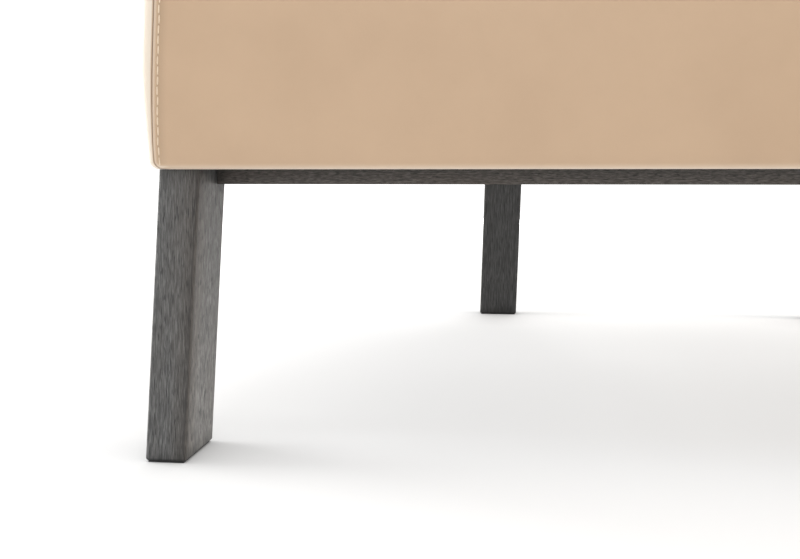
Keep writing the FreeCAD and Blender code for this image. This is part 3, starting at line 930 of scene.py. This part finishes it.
def panelBack(distance, lift):
    # how far the leather lies behind the panel's face, by the distance to its seam and to its lower edge
    look = frontPanel
    back = 0
    if distance < seam["ridge"]:
        part = 1 - distance / seam["ridge"]
        back += look["seamBack"] * (1 - math.sqrt(max(1 - part * part, 0)))
    back += look["valley"] * bell(distance, seam["stitchAway"], look["valleyWidth"])
    pillow = easeStep(min(distance, lift), 0, look["pillowReach"])
    return back + look["pillow"] * (1 - pillow) + lowRoll(floorGap + lift)


def selectWhere(piece, domain, test):
    # selects vertices, edges or faces by where they lie, and stays in edit mode
    mesh = piece.data
    editMode()
    bpy.ops.mesh.select_mode(type=domain)
    bpy.ops.mesh.select_all(action="DESELECT")
    objectMode()
    if domain == "VERT":
        for vertex in mesh.vertices:
            vertex.select = test(vertex.co)
    elif domain == "EDGE":
        for edge in mesh.edges:
            start, end = (mesh.vertices[index].co for index in edge.vertices)
            edge.select = test((start + end) / 2)
    else:
        for face in mesh.polygons:
            face.select = test(face.center)
    editMode()


def cutAcross(axis, places):
    # straight cuts through all that shows, at places along one axis: 0 across, 2 up
    way = Vector((0, 0, 0))
    way[axis] = 1
    for place in places:
        bpy.ops.mesh.select_all(action="SELECT")
        bpy.ops.mesh.bisect(plane_co=way * place, plane_no=way)


def makeFrontPanel():
    look = frontPanel
    apron, halfCell = look["apronTop"], look["cell"] / 2

    # the apron as a plane, cut at the arms, with the two arm fronts pulled up from it
    bpy.ops.mesh.primitive_plane_add(size=1, rotation=(math.pi / 2, 0, 0))
    panel = namePiece("frontPanel")
    panel.scale = (2 * panelHalf, apron - floorGap, 1)
    panel.location = (0, frontY, (apron + floorGap) / 2)
    bpy.ops.object.transform_apply(location=True, rotation=True, scale=True)
    editMode()
    cutAcross(0, (-panelInner, panelInner))
    selectWhere(panel, "EDGE", lambda at: abs(at.z - apron) < nearly and abs(at.x) > panelInner)
    extrudeUp(panelHigh.z - apron)

    # round corners, and points along the edges that draw in
    selectWhere(panel, "VERT", lambda at: at.z > panelHigh.z - nearly)
    bpy.ops.mesh.bevel(offset=look["armRound"], segments=look["armTurns"], affect="VERTICES")
    selectWhere(panel, "VERT", lambda at: at.z < floorGap + nearly and abs(at.x) > panelHalf - nearly)
    bpy.ops.mesh.bevel(offset=look["bottomRound"], segments=look["footTurns"], affect="VERTICES")
    bpy.ops.mesh.select_mode(type="FACE")
    cutAcross(2, steps(floorGap + halfCell, apron - halfCell, look["apronCuts"]))
    armEnd = panelHigh.z - look["armRound"] - look["armClear"]
    cutAcross(2, steps(apron + halfCell, armEnd, look["armCuts"]))
    cutAcross(0, [side * (panelHalf - near) for near in look["footCuts"] for side in (-1, 1)])

    # rings along the edge, then a finer grid over what is left inside
    bpy.ops.mesh.select_all(action="SELECT")
    for ring in look["rings"]:
        bpy.ops.mesh.inset(thickness=ring, depth=0, use_even_offset=True)
    bpy.ops.mesh.hide(unselected=True)
    ringTop = floorGap + sum(look["rings"])
    cutAcross(2, [ringTop + lift for lift in look["lowCuts"]])
    cutAcross(0, steps(-panelHalf, panelHalf, round(2 * panelHalf / look["cell"]))[1:-1])
    cutAcross(0, [side * (panelInner + look["innerCut"]) for side in (-1, 1)])
    bpy.ops.mesh.reveal()
    objectMode()

    # the seam, the stitched valley, the rolled lower edge and a slight pillow
    outline = panelOutline(0)
    shades = []
    for vertex in panel.data.vertices:
        x, z = vertex.co.x, vertex.co.z
        distance, lift = segmentDistance((x, z), outline), z - floorGap
        vertex.co = (panelDraw(x, z), frontY + panelBack(distance, lift), z)
        # painted highlight along the lower edge, added to the painted seam shading
        lowEdge = bell(lift, look["edgeLift"], look["edgeWidth"])
        shades.append(paintedSeamShading(distance) + look["edgeHighlight"] * lowEdge)
    markSeams(panel, shades)
    faceAway(panel, Vector((0, 0, apron)))
    thicken(panel, look["sheet"])
    return panel


panel = makeFrontPanel()
dress(panel, "chair", "tan_leather", leather, "front_panel")
print("front panel:", len(panel.data.polygons), "faces")

stitchPath = [Vector((panelDraw(x, z), frontY, z)) for x, z in panelOutline(seam["stitchAway"], False)]
stitch("panelStitches", stitchPath, panel)
print("front panel stitches")


# topstitching along the outer top seam, over the arms and down the upright seams of the back
capTurn = seam["stitchAway"] / bodyPlan["rollRadius"]
armPathColumns, backPathColumns = 80, 160


def capPath(columns, side=1):
    return [mirrorTo(insidePlace(run, ("outerRoll", capTurn))[0], side) for run in columns]


for sideName, side in sides.items():
    stitch("armCapStitches_" + sideName, capPath(armColumns(armPathColumns), side), insideArms[sideName])
    upright = seamRun + seam["stitchAway"]
    upright = upright if side > 0 else 2 * halfRun - upright
    crossPath = [insidePlace(upright, row)[0] for row in insideRows]
    stitch("crossSeamStitches_" + sideName, crossPath, insideBack)
    backPath = [outsidePlace(upright, row)[0] for row in outsideRows[outsideLook["hemRows"]:]]
    stitch("outsideBackStitches_" + sideName, backPath, outsideBack)
stitch("backCapStitches", capPath(backColumns(backPathColumns)), insideBack)
print("topstitching on the arms and back")


# shapes that fill the seat between the arms
seatMiddle = Vector((0, -0.08, 0))


def sideReach(y, inset):
    return sideCentre.x + math.sqrt((sideRadius - inset) ** 2 - (y - sideCentre.y) ** 2)


def seatPoint(p, q, inset, front, back, rounds, pullIn):
    # p across and q back, both from -1 to 1: squares within squares become round-cornered outlines
    size = max(abs(p), abs(q))
    middle = (front + back) / 2
    if size < nearly:
        return Vector((0, middle))
    p, q = p / size, q / size
    y = mix(front, back, (q + 1) / 2)
    x = abs(p) * sideReach(y, inset)
    rounding, line, way = (rounds[0], front, 1) if q < 0 else (rounds[1], back, -1)
    fromSide, fromEnd = sideReach(y, inset) - x, (y - line) * way
    if abs(p) > abs(q) - nearly and fromEnd < rounding:
        turn = math.pi / 4 * (1 - fromEnd / rounding)
    elif abs(q) > abs(p) - nearly and fromSide < rounding:
        turn = math.pi / 4 * (1 + fromSide / rounding)
    else:
        turn = None
    if turn is not None:
        corner = line + way * rounding
        x = sideReach(corner, inset) - rounding * (1 - math.cos(turn))
        y = line + way * rounding * (1 - math.sin(turn))
    elif q < -1 + nearly:
        y += pullIn * (1 - p * p)
    return Vector((math.copysign(x, p) * size, middle + (y - middle) * size))


# loose seat cushion: a boxed cover, blown up between its two sewn seams and held by the arms
cushionLook = {
    "cells": (44, 42),
    "wallRows": 9,
    "rounds": (0.026, 0.070),   # front and rear corners
    "wallInset": 0.1195,        # seams, from the chair's outer line
    "sideLimit": 0.1122,        # the arms hold it here
    "frontIn": 0.008,
    "pullIn": 0.004,
    "seamLift": 0.007,          # lower seam above the deck
    "seamTop": 0.4235,
    "pressure": 4.0,
    "frames": 20,
    "topCap": 0.022,
    "wallCap": 0.007,
    "pipeOffset": 0.0034,
    "pipeTurns": 4,
    "pipeHighlight": 0.3,
    "pinch": 0.0024,
    "stitchAway": 0.0052,
}
cushionLow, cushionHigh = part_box("seat_cushion_cover")


def makeCushion():
    look = cushionLook
    front, back = cushionLow.y + look["frontIn"], cushionHigh.y - look["frontIn"] / 2
    low, high = cushionLow.z + look["seamLift"], look["seamTop"]

    # a grid pulled up in steps into a closed box
    cellsAcross, cellsBack = look["cells"]
    bpy.ops.mesh.primitive_grid_add(x_subdivisions=cellsAcross, y_subdivisions=cellsBack, size=2)
    cushion = namePiece("seatCushion")
    editMode()
    bpy.ops.mesh.select_all(action="SELECT")
    for row in range(look["wallRows"]):
        extrudeUp(1 / look["wallRows"])
    bpy.ops.mesh.select_all(action="SELECT")
    bpy.ops.mesh.normals_make_consistent(inside=False)
    objectMode()

    # laid into the seat, with both sewn seams held
    mesh = cushion.data
    onSeam, onTop = [], []
    for vertex in mesh.vertices:
        p, q, rise = vertex.co
        rim = max(abs(p), abs(q)) > 1 - nearly
        if rim and (rise < nearly or rise > 1 - nearly):
            onSeam.append(vertex.index)
        if not rim:
            onTop.append(vertex.index)
        flat = seatPoint(p, q, look["wallInset"], front, back, look["rounds"], look["pullIn"])
        vertex.co = (flat.x, flat.y, mix(low, high, rise))
    rest = [vertex.co.copy() for vertex in mesh.vertices]
    held = cushion.vertex_groups.new(name="sewn")
    held.add(onSeam, 1.0, "REPLACE")
    cloth = cushion.modifiers.new("filling", "CLOTH")
    cloth.settings.use_pressure = True
    cloth.settings.uniform_pressure_force = look["pressure"]
    cloth.settings.vertex_group_mass = "sewn"
    cloth.settings.effector_weights.gravity = 0
    scene = bpy.context.scene
    cloth.point_cache.frame_start = 1
    cloth.point_cache.frame_end = look["frames"]
    for frameNumber in range(1, look["frames"] + 1):
        scene.frame_set(frameNumber)
    pickOnly(cushion)
    bpy.ops.object.modifier_apply(modifier=cloth.name)
    scene.frame_set(1)
    cushion.vertex_groups.clear()

    # the filling stops where the cover is tight: each panel's movement is scaled to its cap
    panels = {"top": set(onTop), "wall": set(range(len(rest))) - set(onTop)}
    for panelName, members in panels.items():
        moves = {index: mesh.vertices[index].co - rest[index] for index in members}
        longest = max(move.length for move in moves.values())
        scale = min(1, look[panelName + "Cap"] / longest) if longest > 0 else 0
        print("cushion", panelName, "moved", round(longest * 1000, 1), "mm, scaled by", round(scale, 3))
        for index, move in moves.items():
            mesh.vertices[index].co = rest[index] + move * scale
    for vertex in mesh.vertices:
        reach = sideReach(vertex.co.y, look["sideLimit"])
        vertex.co.x = min(max(vertex.co.x, -reach), reach)
        vertex.co.y = min(max(vertex.co.y, cushionLow.y), cushionHigh.y)
        vertex.co.z = max(vertex.co.z, cushionLow.z)
    return cushion, [mesh.vertices[index].co.copy() for index in onSeam]


def pointTree(points):
    tree = KDTree(len(points))
    for index, point in enumerate(points):
        tree.insert(point, index)
    tree.balance()
    return tree


def sewCushion(cushion, sewnPoints):
    # rounds the sewn edges, then pulls the middle line of each rounding in
    look = cushionLook
    mesh = cushion.data
    sewn = pointTree(sewnPoints)
    isSewn = [sewn.find(vertex.co)[2] < nearly for vertex in mesh.vertices]
    editMode()
    bpy.ops.mesh.select_all(action="DESELECT")
    objectMode()
    for edge in mesh.edges:
        edge.select = all(isSewn[index] for index in edge.vertices)
    editMode()
    bpy.ops.mesh.select_mode(type="EDGE")
    bpy.ops.mesh.bevel(offset=look["pipeOffset"], segments=look["pipeTurns"], affect="EDGES")
    objectMode()

    found = pointTree([vertex.co for vertex in mesh.vertices])
    seamLine = [mesh.vertices[found.find(point)[1]] for point in sewnPoints]
    pulled = {vertex.index: vertex.co - vertex.normal * look["pinch"] for vertex in seamLine}
    # painted shade on the pulled seam line, and a painted highlight on the rounding beside it
    shades = []
    for vertex in mesh.vertices:
        near = max(1 - sewn.find(vertex.co)[2] / look["pipeOffset"], 0)
        shades.append(-1.0 if vertex.index in pulled else look["pipeHighlight"] * near)
    for index, place in pulled.items():
        mesh.vertices[index].co = place
    markSeams(cushion, shades)
    applyModifier(cushion, "SUBSURF", levels=1, render_levels=1)
    smoothFaces(cushion, degrees=80)


def seamRound(points):
    # one of the two sewn seams in order, back to its start
    middleY = (cushionLow.y + cushionHigh.y) / 2
    ordered = sorted(points, key=lambda point: math.atan2(point.y - middleY, point.x))
    return ordered + ordered[:1]


cushion, sewnPoints = makeCushion()
sewCushion(cushion, sewnPoints)
dress(cushion, "seat_cushion", "tan_leather", leather, "seat_cushion_cover", "cushion_foam_core")

middleZ = (cushionLow.z + cushionHigh.z) / 2
away = cushionLook["stitchAway"]
upperPath = []
for point in seamRound([point for point in sewnPoints if point.z > middleZ]):
    inward = Vector((seatMiddle.x - point.x, seatMiddle.y - point.y, 0)).normalized()
    upperPath.append(point + inward * away + Vector((0, 0, away / 2)))
lowerSeam = seamRound([point for point in sewnPoints if point.z < middleZ])
lowerPath = [point + Vector((0, 0, away)) for point in lowerSeam]
stitch("cushionTopStitches", upperPath, cushion, "seat_cushion")
stitch("cushionLowerStitches", lowerPath, cushion, "seat_cushion")
print("seat cushion:", len(cushion.data.polygons), "faces")


# zip along the back of the cushion, and the slider that runs on it
zipLook = {
    "tapeHalf": 0.009,
    "tapeCells": (60, 8),
    "tapeOut": 0.0003,          # the tape lies this far behind the cushion's back
    "tapeSheet": 0.0006,
    "tapeBevel": 0.0001,
    "teeth": {"length": 0.0013, "width": 0.0030, "pitch": 0.0019, "blunt": 0.4, "raised": 0.0001},
    "teethOut": 0.001,
    "teethEnds": 0.002,
    "slider": (0.0075, 0.0022, 0.0090),
    "sliderBevel": 0.0005,
    "tabInset": 0.0006,
    "tabDrops": (0.0012, 0.0020, 0.0040),
    "tabSpreads": ((0.55, 0.8, 1), (1.7, 1, 1)),    # narrower and thinner, then wider at its end
}
zipLow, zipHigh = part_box("cushion_zip")
zipZ = (zipLow.z + zipHigh.z) / 2


def tapePlace(x, z):
    return Vector((x, zipLow.y + zipLook["tapeOut"], z)), 1.0


tapeAcross, tapeUp = zipLook["tapeCells"]
tapeRows = steps(zipZ - zipLook["tapeHalf"], zipZ + zipLook["tapeHalf"], tapeUp)
zipTape = gridPiece("zipTape", steps(zipLow.x, zipHigh.x, tapeAcross), tapeRows, tapePlace)
faceAway(zipTape, Vector((0, 0, zipZ)))
applyModifier(zipTape, "SOLIDIFY", thickness=zipLook["tapeSheet"], offset=1)
applyModifier(zipTape, "BEVEL", width=zipLook["tapeBevel"], segments=1)
dress(zipTape, "seat_cushion", "zip_tape", zipCloth, "cushion_zip")
teethRun = steps(zipLow.x + zipLook["teethEnds"], zipHigh.x - zipLook["teethEnds"], count=40)
teethPath = [Vector((x, zipLow.y + zipLook["teethOut"], zipZ)) for x in teethRun]
layAlong("zipTeeth", teethPath, zipTape, zipLook["teeth"], brass, "brass", "seat_cushion")

pullLow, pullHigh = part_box("zip_pull")


def makeZipPull():
    look = zipLook
    depth, height = look["slider"][1:]
    middle = Vector(((pullLow.x + pullHigh.x) / 2, pullLow.y + depth / 2, zipZ))
    bpy.ops.mesh.primitive_cube_add(size=1)
    pull = namePiece("zipPull")
    pull.scale = look["slider"]
    pull.location = middle
    bpy.ops.object.transform_apply(location=True, rotation=True, scale=True)

    # the tab hangs from the lower face
    selectWhere(pull, "FACE", lambda at: at.z < zipZ - height / 2 + nearly)
    foot = middle - Vector((0, 0, height / 2))
    bpy.ops.mesh.inset(thickness=look["tabInset"], depth=0)
    extrudeUp(-look["tabDrops"][0])
    for spread, drop in zip(look["tabSpreads"], look["tabDrops"][1:]):
        bpy.ops.transform.resize(value=spread, center_override=foot)
        extrudeUp(-drop)
    bpy.ops.mesh.select_all(action="SELECT")
    bpy.ops.mesh.normals_make_consistent(inside=False)
    objectMode()
    applyModifier(pull, "BEVEL", width=look["sliderBevel"], segments=3)
    smoothFaces(pull, degrees=40)
    return pull


zipPull = makeZipPull()
dress(zipPull, "zip_slider", "brass", brass, "zip_pull")
print("zip and slider")


# deck under the cushion: cloth, with a strip of leather along the front edge
deckLook = {
    "inset": 0.1106,
    "cells": 30,
    "rounds": (0.004, 0.040),
    "pad": 0.020,
    "crown": 0.0008,
    "sink": 0.0014,
    "facing": 0.088,            # width of the leather strip
    "facingColumns": 60,
    "facingDrop": 0.0002,
    "facingDip": 0.6,
    "facingSheet": 0.0010,
    "facingRows": (0.015, 8),   # even rows from this far inside its rear seam
    "lip": 0.0011,
    "lipAngles": (10, 25, 40, 55, 68, 78, 85, 90),
    "stitchEnd": 0.99,
}
deckLow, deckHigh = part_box("deck_pad")


def deckPlace(p, q):
    flat = seatPoint(p, q, deckLook["inset"], deckLow.y, deckHigh.y, deckLook["rounds"], 0)
    rise = deckLook["crown"] * (1 - p * p) * (1 - q * q)
    return Vector((flat.x, flat.y, deckTop - deckLook["sink"] + rise)), 1.0


deckSteps = steps(-1, 1, deckLook["cells"])
seatDeck = gridPiece("seatDeck", deckSteps, deckSteps, deckPlace)
faceAway(seatDeck, seatMiddle)
thicken(seatDeck, deckLook["pad"])
dress(seatDeck, "chair", "deck_cloth", deckCloth, "deck_pad")


def facingPlace(p, row):
    # flat behind, then over the front edge to the panel's upper seam
    kind, value = row
    z = deckTop - deckLook["facingDrop"]
    if kind == "lip":
        y = panelBackY - bodyPlan["wrapDepth"] * math.sin(value)
        z -= deckLook["lip"] * (1 - math.cos(value))
        edge = (math.pi / 2 - value) * bodyPlan["wrapDepth"]
    else:
        y = panelBackY + value
        edge = deckLook["facing"] - value
    x = p * sideReach(max(y, panelBackY), deckLook["inset"])
    return Vector((x, y, z - seamDip(edge) * deckLook["facingDip"])), edge


evenStart, evenCount = deckLook["facingRows"]
facingRows = rowsOf("flat", [deckLook["facing"] - near for near in nearSeam])
facingRows += rowsOf("flat", steps(deckLook["facing"] - evenStart, 0, evenCount))
facingRows += rowsOf("lip", radiansOf(deckLook["lipAngles"]))
deckFacing = gridPiece("deckFacing", steps(-1, 1, deckLook["facingColumns"]), facingRows, facingPlace)
faceAway(deckFacing, Vector((0, frontY + deckLook["facing"], floorGap)))
thicken(deckFacing, deckLook["facingSheet"])
dress(deckFacing, "chair", "tan_leather", leather)
stitchRow = ("flat", deckLook["facing"] - seam["stitchAway"])
facingRun = steps(-deckLook["stitchEnd"], deckLook["stitchEnd"], count=40)
stitch("facingStitches", [facingPlace(p, stitchRow)[0] for p in facingRun], deckFacing)
print("seat deck")


# dust cover: black cloth stapled under the frame, a little slack between the rails
dustLook = {
    "inset": 0.0125,
    "columns": 72,
    "rows": 64,
    "bowPower": 6,              # the side edges follow the bow, the columns further in less and less
    "cornerClear": 0.0002,
    "sag": 0.0035,
    "railHalf": 0.012,
    "sheet": 0.0006,
    "staple": {"length": 0.0110, "width": 0.0011, "pitch": 0.042, "blunt": 0.3, "raised": 0.0004},
    "stapleIn": 0.008,
    "stapleEnds": 0.03,
    "stapleDrop": 0.002,
}
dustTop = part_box("dust_cover")[1].z
railLow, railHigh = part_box("side_rail_right")
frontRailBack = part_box("front_rail")[1].y
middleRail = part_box("middle_rail")
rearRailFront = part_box("rear_rail")[0].y


def backReach(x, inset):
    # how far back the chair's outline lies at this distance from the middle
    corner, rounding = outerLine["corner"], outerLine["rounding"] - inset
    if abs(x) > corner.x:
        return corner.y + math.sqrt(max(rounding ** 2 - (abs(x) - corner.x) ** 2, 0))
    return backCentre.y + math.sqrt((bodyPlan["backRadius"] - inset) ** 2 - x * x)


def bay(value, low, high):
    part = (value - low) / (high - low)
    return math.sin(math.pi * part) if 0 < part < 1 else 0


def dustSag(x, y):
    # hangs between the slanting side rails and the cross rails
    slant = (railHigh.x - railLow.x) / (railHigh.y - railLow.y)
    railX = railHigh.x - slant * (y - railLow.y) - dustLook["railHalf"]
    across = bay(x, -railX, railX)
    length = bay(y, frontRailBack, middleRail[0].y) + bay(y, middleRail[1].y, rearRailFront)
    return dustLook["sag"] * across * length


def dustPlace(p, q):
    inset = dustLook["inset"]
    half = halfFront - inset
    bow = sideReach(mix(frontY, seamY, q), inset) - half
    x = p * half + math.copysign(bow * abs(p) ** dustLook["bowPower"], p)
    y = mix(frontY + inset, backReach(min(abs(x), half - dustLook["cornerClear"]), inset), q)
    return Vector((x, y, dustTop)), 1.0


dustColumns = [math.sin(turn) for turn in steps(-math.pi / 2, math.pi / 2, dustLook["columns"])]
dustCover = gridPiece("dustCover", dustColumns, steps(0, 1, dustLook["rows"]), dustPlace)
faceAway(dustCover, Vector((0, 0, backTop)))
for vertex in dustCover.data.vertices:
    vertex.co.z -= dustSag(vertex.co.x, vertex.co.y)
thicken(dustCover, dustLook["sheet"])
dress(dustCover, "chair", "black_cloth", blackCloth, "dust_cover")

staplePath = []
for run in steps(dustLook["stapleEnds"], 2 * halfRun - dustLook["stapleEnds"], count=160):
    point, way = planPoint(outerLine, run)
    point = point - way * (dustLook["inset"] + dustLook["stapleIn"])
    staplePath.append(Vector((point.x, point.y, dustTop - dustLook["stapleDrop"])))
layAlong("dustStaples", staplePath, dustCover, dustLook["staple"], steel, "steel", "chair")


# stage, light and camera
stage = {
    "floorHalf": 40.0,
    "floorTone": 0.40,
    "floorMottle": 1.02,
    "floorGlow": (0.44, 1.0),   # glows less close to the feet and more away from the chair
    "glowReach": (1.2, 3.5),    # between these distances, so that the camera sees no horizon
    # painted contact shadow: the floor's glow dims within this distance of anything standing on it
    "glowShade": 0.10,
    "skyColour": (1.0, 0.995, 0.985, 1),
    "skyLevels": (0.08, 1.30),  # in front of the chair, and all round the rest
    "skyBand": (-0.8, 0.1),
}
bpy.ops.mesh.primitive_plane_add(size=2 * stage["floorHalf"])
studioFloor = namePiece("studioFloor")
floorMaterial = startMaterial("paleFloor")
floorAt = objectCoords(floorMaterial)
floorFar = addNode(floorMaterial, "VectorMath", "Value", {0: floorAt}, operation="LENGTH")
glow = addRange(floorMaterial, floorFar, *stage["glowReach"], *stage["floorGlow"])
# painted contact shadow round the feet
paintedContactShadow = addNode(floorMaterial, "AmbientOcclusion", "AO", {"Distance": stage["glowShade"]}, samples=16)
dimmed = addNode(floorMaterial, "Math", "Value", {0: glow, 1: paintedContactShadow}, operation="MULTIPLY")
mottle = addNoise(floorMaterial, floorAt, size=3.0, detail=3, roughness=0.5)
pale = stage["floorTone"]
paler = pale * stage["floorMottle"]
floorTone = addRamp(floorMaterial, mottle, [(0.3, (pale, pale, pale)), (0.7, (paler, paler, paler))])
floorRough = addRange(floorMaterial, mottle, toLow=0.85, toHigh=0.95)
setShader(floorMaterial, Base_Color=floorTone, Roughness=floorRough, Specular_IOR_Level=0.0,
          Emission_Color=(1, 1, 1, 1), Emission_Strength=dimmed)
studioFloor.data.materials.append(floorMaterial)

world = bpy.data.worlds.new("studio")
world.use_nodes = True
skyWay = addNode(world, "SeparateXYZ", "Y", {"Vector": addNode(world, "TexCoord", "Generated")})
skyLevel = addRange(world, skyWay, *stage["skyBand"], *stage["skyLevels"])
feed(world, world.node_tree.nodes["Background"], {"Color": stage["skyColour"], "Strength": skyLevel})
bpy.context.scene.world = world


def addLight(name, place, size, power, aim=(0, 0, 0.3), onlyOn=(), colour=(1, 1, 1)):
    bpy.ops.object.light_add(type="AREA", location=place)
    lamp = bpy.context.object
    lamp.name = name
    lamp.data.size = size
    lamp.data.energy = power
    lamp.data.color = colour
    lamp.rotation_euler = (Vector(aim) - Vector(place)).to_track_quat("-Z", "Y").to_euler()
    if onlyOn:
        reached = bpy.data.collections.new(name + "Reach")
        for piece in onlyOn:
            reached.objects.link(piece)
        lamp.light_linking.receiver_collection = reached


# the low lamps light only the front legs and the floor, so they don't wash out the leather
legsAndFloor = [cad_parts["front_leg_left"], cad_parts["front_leg_right"], studioFloor]
lamps = {
    "leftLight": {"place": (-2.3, 0.1, 0.7), "size": 1.2, "power": 28.0},
    "lowLeftLight": {"place": (-2.3, 0.1, 0.7), "size": 1.2, "power": 42.0, "onlyOn": legsAndFloor},
    "lowRightLight": {"place": (2.4, 0.0, 0.5), "size": 1.0, "power": 122.0, "onlyOn": legsAndFloor,
                      "colour": (1, 0.92, 0.83)},
    "lowBackLight": {"place": (0.0, 3.0, 0.6), "aim": (0, 0, 0.2), "size": 2.0, "power": 140.0,
                     "onlyOn": [studioFloor]},
    "frontLight": {"place": (-0.4, -3.0, 1.1), "size": 1.0, "power": 12.6},
    "topLight": {"place": (0.0, -1.2, 2.8), "aim": (0, -0.9, 0), "size": 1.0, "power": 25.0},
}
for lampName, lamp in lamps.items():
    addLight(lampName, **lamp)

view = {"place": (-0.1642, -0.9397, 0.1770), "yaw": 7.216, "pitch": 6.00, "lens": 45.05, "sensor": 36.0}
bpy.ops.object.camera_add(location=view["place"])
camera = bpy.context.object
camera.name = "photoCamera"
camera.rotation_euler = (math.radians(90 - view["pitch"]), 0, math.radians(view["yaw"]))
camera.data.lens = view["lens"]
camera.data.sensor_width = view["sensor"]
camera.data.clip_start = 0.01
bpy.context.scene.camera = camera
bpy.context.scene.view_settings.view_transform = "Standard"
print("stage, light and camera")
